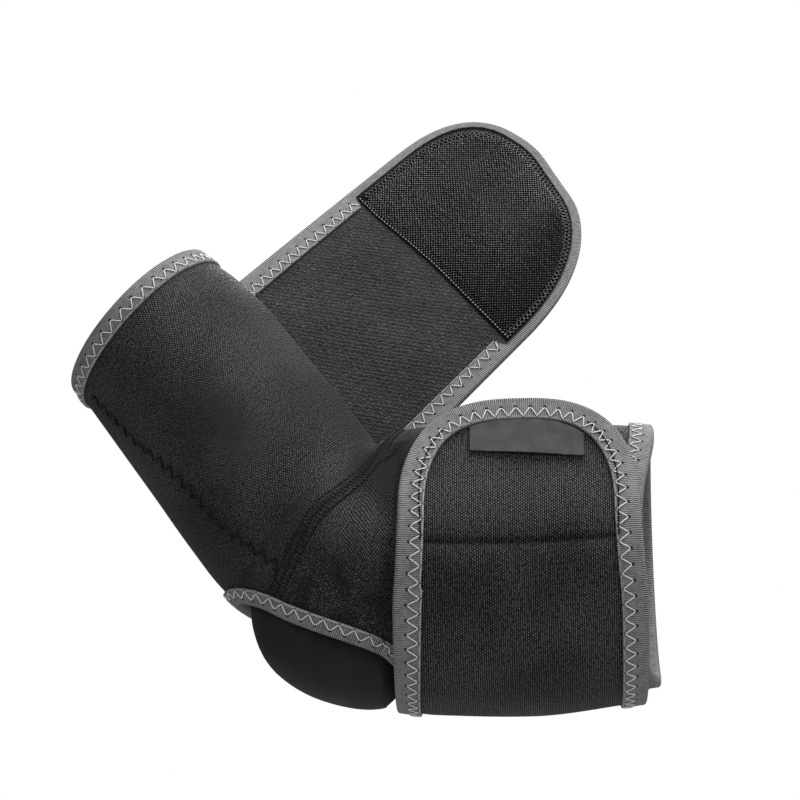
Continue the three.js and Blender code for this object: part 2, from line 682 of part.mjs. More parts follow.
// The columns lie closer near the two edges, where the tape is folded over
function strapSheet(strap, rows, low, high) {
  const point = (i, j, face) => {
    const w = rows[i].half * Math.sin((Math.PI / 2) * (-1 + (2 * j) / STRAP_ACROSS));
    return strapPoint(strap, leaned(strap, rows[i], w), w, face === 0 ? high : low);
  };
  return sheetSolid({ rows: rows.length - 1, columns: STRAP_ACROSS, point });
}

function strapSolid(strap) {
  return strapSheet(strap, strapBodyRows(strap), -FOAM, 0);
}

function hookPad(strap) {
  const from = strap.tip - strap.padLength;
  const rows = strapRows(strap, from, 3, PAD_MARGIN);
  return strapSheet(strap, rows, -FOAM - CLEARANCE - strap.pad, -FOAM - CLEARANCE);
}

// Tape folded over a strap's edge, up one side, round the end and down the other.
// Its inner leg is narrow where the hook pad covers the rest.
function strapBinding(strap) {
  const rows = strapRows(strap, -strap.wrapped, strap.bodyRows, 0);
  const padFrom = strap.tip - strap.padLength;
  const edge = [
    ...rows.map((row) => ({ row, w: row.half })),
    ...rows.slice(0, -1).reverse().map((row) => ({ row, w: -row.half })),
  ].map(({ row, w }) => [leaned(strap, row, w), w]);
  const place = (t, w) => strapPoint(strap, t, w, 0);
  const rings = edge.map(([t, w], k) => {
    const before = edge[Math.max(k - 1, 0)];
    const after = edge[Math.min(k + 1, edge.length - 1)];
    const way = [after[0] - before[0], after[1] - before[1]];
    const nearPad = t > padFrom - TAPE_STEP_BEFORE_PAD;
    const inner = nearPad ? STRAP_TAPE_WIDTH_UNDER_PAD : STRAP_TAPE_WIDTH;
    return tapeSection(STRAP_TAPE_WIDTH, inner, FOAM).map(([inward, offset]) => {
      const [tt, ww] = inset(place, [t, w], way, -1, inward);
      return strapPoint(strap, tt, ww, offset);
    });
  });
  return ringSolid(rings, false);
}

// Woven label on the closed strap: its upper edge follows the tape's inner edge
function label(strap) {
  const margin = STRAP_TAPE_WIDTH + CLEARANCE;
  const start = strap.tip - strap.rounding;
  const half = strapHalf(strap, start) - margin;
  const top = (w) =>
    start +
    (strap.rounding - margin) *
      (1 - Math.abs(w / half) ** ROUND_END_POWER) ** (1 / ROUND_END_POWER);
  const columns = 8;
  const rows = 2;
  const point = (i, j, face) => {
    const w = LABEL_SHIFT + LABEL_LENGTH * (j / columns - 0.5);
    const upper = top(w);
    const lower = top(LABEL_SHIFT) - LABEL_WIDTH - LABEL_TILT * (w - LABEL_SHIFT);
    const height = CLEARANCE + (face === 0 ? LABEL : 0);
    return strapPoint(strap, lerp(lower, upper, i / rows), w, height);
  };
  return sheetSolid({ rows, columns, point });
}

const foamCloth = new THREE.MeshStandardMaterial({ color: 0x26272a, roughness: 0.85 });
const stretchCloth = new THREE.MeshStandardMaterial({ color: 0x151517, roughness: 0.7 });
const ribbedTape = new THREE.MeshStandardMaterial({ color: 0x6f7276, roughness: 0.6 });
const hookTape = new THREE.MeshStandardMaterial({ color: 0x101011, roughness: 0.45 });
const wovenLabel = new THREE.MeshStandardMaterial({ color: 0x3a3b3e, roughness: 0.75 });

const brace = new THREE.Group();
const addPiece = (name, geometry, material) => {
  const mesh = new THREE.Mesh(geometry, material);
  mesh.name = name;
  brace.add(mesh);
};

addPiece("forearm_sleeve", forearmSleeve(), foamCloth);
addPiece("upper_arm_sleeve", upperArmSleeve(), foamCloth);
addPiece("elbow_insert", elbowInsert(), stretchCloth);
addPiece("forearm_strap", strapSolid(FOREARM_STRAP), foamCloth);
addPiece("upper_arm_strap", strapSolid(UPPER_STRAP), foamCloth);
addPiece("forearm_hook_pad", hookPad(FOREARM_STRAP), hookTape);
addPiece("upper_arm_hook_pad", hookPad(UPPER_STRAP), hookTape);
addPiece("forearm_rim_binding", forearmRimBinding(), ribbedTape);
addPiece("upper_arm_rim_binding", upperArmRimBinding(), ribbedTape);
addPiece("elbow_opening_binding", elbowOpeningBinding(), ribbedTape);
addPiece("forearm_strap_binding", strapBinding(FOREARM_STRAP), ribbedTape);
addPiece("upper_arm_strap_binding", strapBinding(UPPER_STRAP), ribbedTape);
addPiece("label", label(UPPER_STRAP), wovenLabel);

export default brace;
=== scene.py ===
"""Looks of an elbow brace of knit-faced foam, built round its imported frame.

Sizes are in millimetres and are turned into metres as a mesh is made. The sleeve's
surface is addressed by a station s along the arm and an angle theta round it: s is
below zero on the forearm, 0 to the bend's span round the elbow and above that on the
upper arm, while theta is 0 on the outside (-Y), 90 in the crook and 270 at the elbow
tip. A strap is addressed by t along it, 0 where it leaves the sleeve, and w across it.
"""

import logging
import math
from dataclasses import dataclass
from enum import Enum
from functools import cached_property
from typing import Callable, NamedTuple

import bmesh
import bpy
import numpy as np
from mathutils import Matrix, Vector


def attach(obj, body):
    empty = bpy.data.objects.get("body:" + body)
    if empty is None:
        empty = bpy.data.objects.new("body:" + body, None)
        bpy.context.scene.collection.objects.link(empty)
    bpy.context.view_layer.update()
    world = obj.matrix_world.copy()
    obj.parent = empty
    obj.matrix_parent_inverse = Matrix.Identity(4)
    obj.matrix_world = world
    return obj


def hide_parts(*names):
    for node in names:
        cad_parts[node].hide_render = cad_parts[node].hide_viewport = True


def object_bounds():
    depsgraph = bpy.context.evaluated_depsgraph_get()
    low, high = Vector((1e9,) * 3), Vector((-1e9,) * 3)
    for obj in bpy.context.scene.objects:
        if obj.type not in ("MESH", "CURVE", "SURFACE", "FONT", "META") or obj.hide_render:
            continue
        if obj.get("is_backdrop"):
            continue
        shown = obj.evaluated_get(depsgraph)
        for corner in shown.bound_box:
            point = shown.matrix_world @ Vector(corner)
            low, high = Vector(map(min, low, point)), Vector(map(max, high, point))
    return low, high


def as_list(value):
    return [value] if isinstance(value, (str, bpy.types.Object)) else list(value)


Array = np.ndarray
Pair = tuple[float, float]
Triple = tuple[float, float, float]
Material = bpy.types.Material
Piece = bpy.types.Object
Tree = bpy.types.NodeTree
Node = bpy.types.Node
Socket = bpy.types.NodeSocket

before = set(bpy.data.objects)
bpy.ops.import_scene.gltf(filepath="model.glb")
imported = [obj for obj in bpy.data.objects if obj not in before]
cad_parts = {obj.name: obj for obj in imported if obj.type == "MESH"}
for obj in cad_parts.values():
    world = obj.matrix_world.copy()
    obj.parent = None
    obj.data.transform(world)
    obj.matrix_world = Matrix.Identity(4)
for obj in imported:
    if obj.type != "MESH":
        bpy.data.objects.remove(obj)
CAD_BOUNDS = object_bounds()
log = logging.getLogger("elbow_brace")

MM = 0.001
ROOT = "root"

# Thickness of the foam and the tape, and the gap between pieces that are sewn together.
FOAM = 3.0
TAPE = 0.8
CLEARANCE = 0.4

# Height of a hook pad's sewn face over the strap's outer face.
PAD_FACE = -FOAM - CLEARANCE

# Facets round a thread, points along one zigzag of it, and the gap under which the
# points of a piece as fine as thread are merged.
THREAD_SIDES = 6
STEPS_PER_ZIGZAG = 14
FINE_MERGE = 0.0001

# Stitch place of tape that shows no stitch, far from every needle hole.
NO_STITCH = -9.0

# Station of the closed strap's middle line, and half its width.
CLOSED_CENTRE = 109.2
CLOSED_HALF_WIDTH = 49.6


class Face(Enum):
    """Which side of a piece of cloth a trim or a stitch lies on."""

    OUTER = 1
    INNER = -1


class Section(NamedTuple):
    """One section of the arm, with lengths as shares of its region's sizes."""

    along: float
    crook: float
    back: float
    half: float


class Crease(NamedTuple):
    """A soft fold in the sleeve along knots of station and angle."""

    knots: tuple[Pair, ...]
    depth: float
    width: float


class Dent(NamedTuple):
    """A hollow or a swelling of a strap; a pitch gives it ripples across."""

    t: float
    w: float
    long: float
    wide: float
    height: float
    power: float = 2.0
    pitch: float = 0.0


class HookRing(NamedTuple):
    """One ring of a moulded hook: its lean, height and half thickness."""

    along: float
    up: float
    thick: float


class TapeRun(NamedTuple):
    """One run of a tape's section: its width along the edge and shares of that width."""

    width: Array
    share: Array
    offset: Array
    face: float


# Helpers


def smoothstep(x: Array, low: float, high: float) -> Array:
    """Return 0 below low, 1 above high and the cubic 3k^2 - 2k^3 between."""
    k = np.clip((np.asarray(x, float) - low) / (high - low), 0, 1)
    return k * k * (3 - 2 * k)


def unit(vectors: Array) -> Array:
    """Return the vectors at length one."""
    return vectors / np.maximum(np.linalg.norm(vectors, axis=-1, keepdims=True), 1e-12)


def bump(x: Array, width: float) -> Array:
    """Return a bell, exp(-(x / width)^2)."""
    return np.exp(-((np.asarray(x, float) / width) ** 2))


def triangle(x: Array) -> Array:
    """Return a triangle wave of period 1 from 0 up to 1 and back."""
    return 1 - np.abs(2 * (x - np.floor(x)) - 1)


def paired(a: Array, b: Array) -> Array:
    """Return two arrays, spread to one shape, as the two parts of places."""
    return np.stack(np.broadcast_arrays(a, b), axis=-1)


def run_lengths(points: Array) -> Array:
    """Return the length from the first point to each point of a path."""
    steps = np.linalg.norm(np.diff(points, axis=0), axis=-1)
    return np.concatenate([[0.0], np.cumsum(steps)])


def smooth_path(knots: tuple[Pair, ...], count: int = 121) -> Array:
    """Return a soft curve of count places through a few knots."""
    table = np.array(knots, float)
    k = np.linspace(0, len(table) - 1, count)
    path = np.stack([np.interp(k, range(len(table)), column) for column in table.T], axis=1)
    for _ in range(40):
        path[1:-1] = (path[:-2] + 2 * path[1:-1] + path[2:]) / 4
    return path


def beside(path: Array, places: Array) -> tuple[Array, Array]:
    """Return how far places lie from a path, and the share of the path they lie at."""
    gaps = np.linalg.norm(places[:, None] - path[None], axis=-1)
    return gaps.min(axis=1), gaps.argmin(axis=1) / (len(path) - 1)


def grid_quads(rows: int, columns: int, start: int = 0, wrap_rows: bool = False,
               wrap_columns: bool = False) -> Array:
    """Return the quads of a grid of points stored row by row.

    Args:
        rows: number of rows of points.
        columns: number of points in a row.
        start: index of the first point.
        wrap_rows: whether the last row joins the first.
        wrap_columns: whether the last column joins the first.

    Returns:
        An array with the four indices of each quad.
    """
    i = np.arange(rows if wrap_rows else rows - 1)[:, None]
    j = np.arange(columns if wrap_columns else columns - 1)[None, :]
    i_next, j_next = (i + 1) % rows, (j + 1) % columns
    corners = [i * columns + j, i * columns + j_next,
               i_next * columns + j_next, i_next * columns + j]
    return np.stack([np.broadcast_to(c, np.broadcast(i, j).shape).ravel()
                     for c in corners], axis=1) + start


@dataclass
class Shell:
    """A mesh before it is made.

    "cloth" is each point's place in the cloth's own plane, in millimetres, and
    "stitch", where there is one, its place among the zigzag's needle holes.
    """

    points: Array
    quads: Array
    cloth: Array
    finish: Array
    stitch: Array | None = None


def make_piece(name: str, shell: Shell, materials: list[Material],
               crease: float = 55.0, merge: float = 0.002) -> Piece:
    """Put a shell into a mesh object that sits at the origin.

    The points go in with foreach_set, in metres. Doubles are merged, and if the
    signed volume (the sum of p . (q x r) / 6 over the triangles) is negative, all
    the faces are turned round.

    Args:
        name: the piece's name.
        shell: its points, quads, cloth places and finishes.
        materials: its material slots.
        crease: edges sharper than this angle in degrees stay sharp.
        merge: points nearer than this in millimetres become one.

    Returns:
        The new object, linked to the scene.
    """
    quads = shell.quads.astype(np.int32)
    p, q, r, s = (shell.points[quads[:, k]] for k in range(4))
    volume = np.einsum("ij,ij->", p, np.cross(q, r)) + np.einsum("ij,ij->", p, np.cross(r, s))
    if volume < 0:
        quads = quads[:, ::-1]
    mesh = bpy.data.meshes.new(name)
    mesh.vertices.add(len(shell.points))
    mesh.vertices.foreach_set("co", (shell.points * MM).astype(np.float32).ravel())
    mesh.loops.add(quads.size)
    mesh.loops.foreach_set("vertex_index", quads.ravel())
    mesh.polygons.add(len(quads))
    mesh.polygons.foreach_set("loop_start", np.arange(0, quads.size, 4, dtype=np.int32))
    mesh.polygons.foreach_set("material_index", shell.finish.astype(np.int32))
    places = {"cloth": shell.cloth * MM}
    if shell.stitch is not None:
        places["stitch"] = shell.stitch
    for layer_name, flat in places.items():
        layer = mesh.uv_layers.new(name=layer_name)
        layer.data.foreach_set("uv", flat[quads.ravel()].astype(np.float32).ravel())
    mesh.update(calc_edges=True)
    shaped = bmesh.new()
    shaped.from_mesh(mesh)
    bmesh.ops.remove_doubles(shaped, verts=shaped.verts, dist=merge * MM)
    shaped.to_mesh(mesh)
    shaped.free()
    mesh.validate()
    mesh.polygons.foreach_set("use_smooth", np.ones(len(mesh.polygons), bool))
    mesh.set_sharp_from_angle(angle=math.radians(crease))
    for material in materials:
        mesh.materials.append(material)
    piece = bpy.data.objects.new(name, mesh)
    bpy.context.scene.collection.objects.link(piece)
    return piece


def two_faced(outer: Array, inner: Array, cloth: Array, walls: Array | None = None) -> Shell:
    """Close a piece of cloth from the grids of its two faces.

    Args:
        outer: points of the outer face, (rows, columns, 3).
        inner: points of the inner face, the same size.
        cloth: place of each grid point in the cloth's plane, (rows, columns, 2).
        walls: whether the sides stand open between each row and the next.

    Returns:
        The shell, with finish 0 outside and 1 inside and on the cut edges.
    """
    rows, columns = outer.shape[:2]
    count = rows * columns
    points = np.concatenate([outer.reshape(-1, 3), inner.reshape(-1, 3)])
    top = grid_quads(rows, columns)
    under = grid_quads(rows, columns, count)[:, ::-1]
    pieces = [top, under]
    i = np.arange(rows - 1)
    if walls is not None:
        i = i[walls]
    for j, turn in ((0, 1), (columns - 1, -1)):
        a, b = i * columns + j, (i + 1) * columns + j
        pieces.append(np.stack([a, b, b + count, a + count], axis=1)[:, ::turn])
    j = np.arange(columns - 1)
    for row, turn in ((0, -1), (rows - 1, 1)):
        a = row * columns + j
        pieces.append(np.stack([a, a + 1, a + 1 + count, a + count], axis=1)[:, ::turn])
    finish = np.concatenate([np.full(len(p), 0 if k == 0 else 1) for k, p in enumerate(pieces)])
    flat = cloth.reshape(-1, 2)
    return Shell(points, np.concatenate(pieces), np.concatenate([flat, flat]), finish)


def thread(place: Callable[[Array], Array], rise: Array, radius: float, way: float = 1.0,
           closed: bool = False) -> Shell:
    """Carry a round section along a path that lies on cloth.

    A ring of the section lies at path + radius (cos a side + sin a normal), where side
    is the cross product of the path's way and the normal.

    Args:
        place: gives the path's points for their heights off the cloth's outer face.
        rise: those heights.
        radius: half the thread's thickness.
        way: 1 on the outer face, -1 on the inner.
        closed: whether the thread joins its own start.

    Returns:
        The thread's shell, with capped ends where it is open.
    """
    path = place(rise)
    normals = unit(place(rise + way) - path)
    if closed:
        forward = unit(np.roll(path, -1, axis=0) - np.roll(path, 1, axis=0))
    else:
        forward = unit(np.gradient(path, axis=0))
    side = unit(np.cross(forward, normals))
    up = np.cross(side, forward)
    a = np.linspace(0, 2 * np.pi, THREAD_SIDES, endpoint=False)
    ring = np.cos(a)[None, :, None] * side[:, None] + np.sin(a)[None, :, None] * up[:, None]
    points = (path[:, None] + radius * ring).reshape(-1, 3)
    quads = grid_quads(len(path), THREAD_SIDES, wrap_rows=closed, wrap_columns=True)
    if not closed:
        tip = np.array([[0, 1, 2, 5], [2, 3, 4, 5]])
        quads = np.concatenate([quads, tip[:, ::-1], tip + (len(path) - 1) * THREAD_SIDES])
    along = run_lengths(path)
    cloth = paired(along[:, None], a * radius).reshape(-1, 2)
    return Shell(points, quads, cloth, np.zeros(len(quads), int))


def gathered(shells: list[Shell]) -> Shell:
    """Return one shell of many, each kept apart."""
    starts = np.cumsum([0] + [len(s.points) for s in shells[:-1]])
    return Shell(
        np.concatenate([s.points for s in shells]),
        np.concatenate([s.quads + start for s, start in zip(shells, starts)]),
        np.concatenate([s.cloth for s in shells]),
        np.concatenate([s.finish for s in shells]),
    )


def thread_piece(name: str, threads: list[Shell], material: Material
                 ) -> Piece:
    """Make one piece of many threads."""
    return make_piece(name, gathered(threads), [material], merge=FINE_MERGE)


# The arm's form


@dataclass
class ArmForm:
    """The surface that the sleeve, and all that is sewn to it, follows."""

    elbow_angle: float = math.radians(126.25)
    forearm_length: float = 106.5
    upper_length: float = 113.0
    bend_span: float = 51.6
    arm_depth: float = 114.2
    arm_width: float = 98.0
    forearm_depth: float = 92.0
    forearm_width: float = 86.0
    bend_back_swell: float = 1.014
    bend_half_swell: float = 1.14
    forearm_rim_slant: float = 6.5
    upper_rim_dip: float = 8.0
    seam_station: float = 22.5
    seam_rise: float = 36.0
    seam_gap: float = 0.4
    opening_centre: float = 38.0
    opening_half_length: float = 26.5
    opening_half_angle: float = 44.0
    forearm_sections: tuple[Section, ...] = (
        Section(along=1.04, crook=0.127, back=0.985, half=0.458),
        Section(along=0.87, crook=0.072, back=0.988, half=0.474),
        Section(along=0.65, crook=0.042, back=0.992, half=0.486),
        Section(along=0.42, crook=0.039, back=1.0, half=0.495),
        Section(along=0.19, crook=0.035, back=1.01, half=0.5),
    )
    bend_sections: tuple[Section, ...] = (
        Section(along=0.0, crook=0.035, back=0.816, half=0.441),
        Section(along=0.186, crook=0.038, back=0.819, half=0.444),
        Section(along=0.372, crook=0.04, back=0.852, half=0.451),
        Section(along=0.558, crook=0.04, back=0.905, half=0.464),
        Section(along=0.744, crook=0.037, back=0.935, half=0.48),
        Section(along=1.0, crook=0.024, back=0.955, half=0.493),
    )
    upper_sections: tuple[Section, ...] = (
        Section(along=0.07, crook=-0.01, back=0.968, half=0.498),
        Section(along=0.18, crook=-0.023, back=0.985, half=0.502),
        Section(along=0.53, crook=-0.021, back=1.0, half=0.504),
        Section(along=0.88, crook=-0.005, back=0.965, half=0.5),
        Section(along=1.04, crook=0.012, back=0.945, half=0.49),
    )

    @cached_property
    def knots(self) -> dict[str, Array]:
        """Stations and section sizes in millimetres, from rim to rim."""
        depth, width = self.forearm_depth, self.forearm_width
        rows = [(-row.along * self.forearm_length, row.crook * depth, row.back * depth,
                 row.half * width) for row in self.forearm_sections]
        wide = width * self.bend_half_swell
        for row in self.bend_sections:
            near = row.back / self.bend_sections[0].back * depth * self.bend_back_swell
            rows.append((row.along * self.bend_span, row.crook * self.arm_depth,
                         near + (row.back * self.arm_depth - near) * row.along,
                         row.half * (wide + (self.arm_width - wide) * row.along)))
        depth, width = self.arm_depth, self.arm_width
        rows += [(self.bend_span + row.along * self.upper_length, row.crook * depth,
                  row.back * depth, row.half * width) for row in self.upper_sections]
        return dict(zip(("s", "crook", "back", "half"), np.array(rows).T))

    @cached_property
    def slopes(self) -> dict[str, Array]:
        """Harmonic mean of the two neighbouring slopes at each knot."""
        found = {}
        for key in ("crook", "back", "half"):
            steps = np.diff(self.knots[key]) / np.diff(self.knots["s"])
            before, after = steps[:-1], steps[1:]
            total = np.where(before + after == 0, 1, before + after)
            middle = np.where(before * after <= 0, 0, 2 * before * after / total)
            found[key] = np.concatenate([steps[:1], middle, steps[-1:]])
        return found

    def size(self, s: Array, key: str) -> Array:
        """Return a section size at stations s, by a cubic in each span."""
        at, value, slope = self.knots["s"], self.knots[key], self.slopes[key]
        i = np.clip(np.searchsorted(at[1:-1], s, side="left"), 0, len(at) - 2)
        h = at[i + 1] - at[i]
        x = np.clip((s - at[i]) / h, 0, 1)
        return (value[i] * (1 + 2 * x) * (1 - x) ** 2 + h * slope[i] * x * (1 - x) ** 2
                + value[i + 1] * x * x * (3 - 2 * x) + h * slope[i + 1] * x * x * (x - 1))

    @cached_property
    def spine(self) -> Array:
        """The line just outside the crook that the bend turns about."""
        depth = (self.knots["crook"] + self.knots["back"]) / 2
        forearm = depth[3]
        upper = depth[len(self.forearm_sections) + len(self.bend_sections) + 2]
        x = (forearm + upper * math.cos(self.elbow_angle)) / math.sin(self.elbow_angle)
        return np.array([x, 0.0, upper])

    def base(self, s: Array, theta: Array) -> Array:
        """Return the surface: spine + way along the arm + ray times reach - half cos."""
        s, theta = np.broadcast_arrays(np.asarray(s, float), np.asarray(theta, float))
        turn = (self.elbow_angle + np.pi / 2
                + (np.pi - self.elbow_angle) * np.clip(s / self.bend_span, 0, 1))
        crook, back, half = (self.size(s, key) for key in ("crook", "back", "half"))
        a = np.radians(theta)
        reach = (crook + back) / 2 - (back - crook) / 2 * np.sin(a)
        forearm, upper = -np.minimum(s, 0), np.maximum(s - self.bend_span, 0)
        x = self.spine[0] + math.cos(self.elbow_angle) * forearm + upper + np.cos(turn) * reach
        z = self.spine[2] + math.sin(self.elbow_angle) * forearm + np.sin(turn) * reach
        return np.stack([x, -half * np.cos(a), z], axis=-1)

    def tangents(self, s: Array, theta: Array) -> tuple[Array, Array]:
        """Return the change of the surface for a unit of s and of theta."""
        h = 0.02
        along = (self.base(s + h, theta) - self.base(s - h, theta)) / (2 * h)
        around = (self.base(s, theta + h) - self.base(s, theta - h)) / (2 * h)
        return along, around

    def normal(self, s: Array, theta: Array) -> Array:
        """Return the outward normal."""
        return unit(np.cross(*self.tangents(s, theta)))

    def point(self, s: Array, theta: Array, offset: Array) -> Array:
        """Return the surface moved outwards by offset."""
        offset = np.asarray(offset, float)
        return self.base(s, theta) + self.normal(s, theta) * offset[..., None]

    def seam(self, theta: Array) -> Array:
        """Station of the seam, which drifts to the shoulder in the crook."""
        away = np.abs((theta + 90 + 180) % 360 - 180)
        return self.seam_station + self.seam_rise * smoothstep(away, 90, 165)

    def half_seam_gap(self, theta: Array) -> Array:
        """Half the true gap between the two panels, in stations."""
        s = self.seam(theta)
        span = np.linalg.norm(self.base(s + 0.5, theta) - self.base(s - 0.5, theta), axis=-1)
        return self.seam_gap / 2 / np.maximum(span, 0.04)

    def forearm_rim(self, theta: Array) -> Array:
        """Station of the slanted rim round the forearm."""
        return -self.forearm_length - self.forearm_rim_slant * np.sin(np.radians(theta))

    def upper_rim(self, theta: Array) -> Array:
        """Station of the upper rim, drawn back under the closed strap."""
        away = (theta + 25 + 180) % 360 - 180
        end = self.bend_span + self.upper_length
        return end - self.upper_rim_dip * np.exp(-((away / 60) ** 4))

    def opening_half(self, s: Array) -> Array:
        """Half the opening's angle at a station: an ellipse round the elbow tip."""
        x = (s - self.opening_centre) / self.opening_half_length
        return self.opening_half_angle * np.sqrt(np.maximum(0, 1 - x * x))


# The strap's form


@dataclass
class StrapForm:
    """A strap that lies on the sleeve and leaves it along a straight line."""

    arm: ArmForm
    centre: float
    across: float
    skew: float
    leave: float
    wrap_way: float
    wrap_degrees: float
    curl: float
    twist: float
    half_width: float
    taper: float
    taper_start: float
    tip: float
    rounding: float
    pad_length: float
    pad: float
    tip_skew: float
    lift: float = 3.2
    root: float = 14.0
    root_lift: float = 0.4
    root_narrowing: float = 12.0
    end_power: float = 2.6
    lean_before: float = 20.0
    lean_after: float = 16.0
    dents: tuple[Dent, ...] = ()
    fine_rows: tuple[float, ...] = ()
    pad_margin: float = 4.7
    blend: float = 12.0

    @cached_property
    def wrap_table(self) -> tuple[Array, Array]:
        """Lengths along the wrap and the angle at each, from the leaving line."""
        theta = self.leave - self.wrap_way * np.linspace(0, self.wrap_degrees + 40, 400)
        path = self.arm.point(np.full_like(theta, self.centre), theta, self.lift + FOAM / 2)
        return run_lengths(path), theta

    @cached_property
    def wrapped(self) -> float:
        """Length of strap that lies on the sleeve."""
        lengths, theta = self.wrap_table
        return float(np.interp(self.wrap_degrees, np.abs(theta - self.leave), lengths))

    def relief(self, t: Array, w: Array) -> Array:
        """Height that the dents and stitched grooves add."""
        height = np.zeros(np.broadcast(t, w).shape)
        for dent in self.dents:
            across = np.exp(-(np.abs((w - dent.w) / dent.wide) ** dent.power))
            if dent.pitch:
                across = across * np.cos(2 * np.pi * w / dent.pitch + 0.8 * np.sin(w / 11))
            height = height + dent.height * bump(t - dent.t, dent.long) * across
        return height

    def point(self, t: Array, w: Array, offset: Array) -> Array:
        """Return the place of a strap point.

        On the sleeve it is the sleeve's surface at the angle that lies -t before the
        leaving line. Beyond that line it runs on tangent to the sleeve, bent to the
        curl's radius, and lifted by twist w t / tip. The sleeve's own normal fades into
        the normal at the strap's middle over the blend's length, and so does its slope.
        """
        t, w, offset = np.broadcast_arrays(*(np.asarray(v, float) for v in (t, w, offset)))
        s = self.centre + self.across * w + self.skew * t
        sewn = smoothstep(-self.wrapped - t, self.root * 0.4, self.root)
        height = (self.lift + (self.root_lift - self.lift) * sewn + FOAM + offset
                  + self.relief(t, w))
        lengths, theta = self.wrap_table
        lying = self.arm.point(s, np.interp(np.maximum(-t, 0), lengths, theta), height)
        centre, leave = np.array(self.centre), np.array(self.leave)
        along, around = self.arm.tangents(centre, leave)
        normal, around = unit(np.cross(along, around)), unit(around)
        bend, rise = t / self.curl, self.twist * t / self.tip * w
        reach = self.wrap_way * (self.curl + height) * np.sin(bend)
        up = (self.curl + height) * np.cos(bend) - self.curl + rise
        free = self.arm.base(s, leave) + around * reach[..., None] + normal * up[..., None]
        fading = bump(t, self.blend)
        turned = (self.arm.normal(s, leave) - normal) * (height * fading)[..., None]
        before = np.interp(1.0, lengths, theta)
        lying_slope = self.arm.point(s, leave, height) - self.arm.point(s, before, height)
        free_slope = (around * (self.wrap_way * (self.curl + height) / self.curl)[..., None]
                      + normal * (self.twist * w / self.tip)[..., None])
        eased = (lying_slope - free_slope) * (t * fading)[..., None]
        return np.where((t <= 0)[..., None], lying, free + turned + eased)

    def tangents(self, t: Array, w: Array) -> tuple[Array, Array]:
        """Return the change of the outer face for a unit of t and of w."""
        h = 0.05
        zero = np.zeros(np.broadcast(t, w).shape)
        along = (self.point(t + h, w, zero) - self.point(t - h, w, zero)) / (2 * h)
        over = (self.point(t, w + h, zero) - self.point(t, w - h, zero)) / (2 * h)
        return along, over

    def thread(self, t: Array, w: Array, rise: Array, radius: float, way: float = 1.0) -> Shell:
        """Thread over the places t and w."""
        return thread(lambda height: self.point(t, w, height), rise, radius, way)

    def half(self, t: Array) -> Array:
        """Half the width at t, without the rounded end."""
        past = np.maximum(0, t - self.taper_start)
        narrowing = self.taper * past * smoothstep(past, 0, 30)
        sewn = smoothstep(-self.wrapped - t, 0, self.root * 0.6)
        return self.half_width - narrowing - self.root_narrowing * sewn

    def outline(self, start: float, rows: int, end_rows: int,
                margin: float = 0.0) -> tuple[Array, Array, Array]:
        """Place, half width and lean of each row of the strap.

        The rounded end is a superellipse stepped evenly round its curve:
        t = start + reach sin^(2/p) a, half = width cos^(2/p) a.

        Args:
            start: t of the first row.
            rows: rows on the straight part.
            end_rows: rows on the rounded end.
            margin: how far the outline is drawn in.

        Returns:
            Arrays of t, half width and lean.
        """
        bend = self.tip - self.rounding
        straight = np.linspace(start, bend, rows, endpoint=False)
        close = [at + np.linspace(-3, 3, 15) for at in self.fine_rows
                 if start + 4 < at < bend - 4]
        straight = np.unique(np.round(np.concatenate([straight, *close]), 3))
        a = np.linspace(0, np.pi / 2, end_rows)
        reach = np.sin(a) ** (2 / self.end_power)
        width = np.maximum(np.cos(a), 0) ** (2 / self.end_power)
        width[-1] = 0
        t = np.concatenate([straight, bend + (self.rounding - margin) * reach])
        half = np.concatenate([self.half(straight) - margin, (self.half(bend) - margin) * width])
        return t, half, self.lean(t)

    def lean(self, t: Array) -> Array:
        """Share of the tip's lean at t."""
        bend = self.tip - self.rounding
        return smoothstep(t, bend - self.lean_before, bend + self.lean_after)

    def leaned(self, t: Array, w: Array, lean: Array) -> Array:
        """Move t so that the tip leans to one side."""
        return t + self.tip_skew * w * lean

    def edge(self, start: float, margin: float = 0.0) -> Array:
        """Flat places round the strap's edge: up one side, round and back."""
        t, half, lean = self.outline(start, 200, 120, margin)
        there = paired(self.leaned(t, half, lean), half)
        back = paired(self.leaned(t, -half, lean), -half)[-2::-1]
        return np.concatenate([there, back])

    def grid(self, start: float, rows: int, end_rows: int, columns: int,
             margin: float = 0.0) -> tuple[Array, Array]:
        """Grids of t and w over the strap, closer near its two sides."""
        t, half, lean = self.outline(start, rows, end_rows, margin)
        share = np.sin(np.pi / 2 * np.linspace(-1, 1, columns))
        w = half[:, None] * share[None, :]
        return self.leaned(t[:, None], w, lean[:, None]), w


# Trims


def stepped_in(tangents: tuple[Array, Array], edge: Array, way: Array, side: float,
               inward: Array) -> tuple[Array, Array]:
    """Step inwards from an edge by a true distance on a surface.

    With the tangents' products E, F and G the inward way is (-(F du + G dv),
    E du + F dv), which is at right angles to the edge's way (du, dv) on the surface.

    Args:
        tangents: the surface's two tangents at each edge point.
        edge: the edge's surface places, (count, 2).
        way: the edge's way at each, (count, 2).
        side: 1 or -1, the side on which the cloth lies.
        inward: distances, broadcast against the edge points.

    Returns:
        The two surface coordinates of the stepped places.
    """
    along, over = tangents
    e, f, g = ((a * b).sum(-1) for a, b in ((along, along), (along, over), (over, over)))
    nu = -(f * way[:, 0] + g * way[:, 1])
    nv = e * way[:, 0] + f * way[:, 1]
    size = np.sqrt(e * nu * nu + 2 * f * nu * nv + g * nv * nv)
    step = side * inward / size[:, None]
    return edge[:, :1] + step * nu[:, None], edge[:, 1:] + step * nv[:, None]


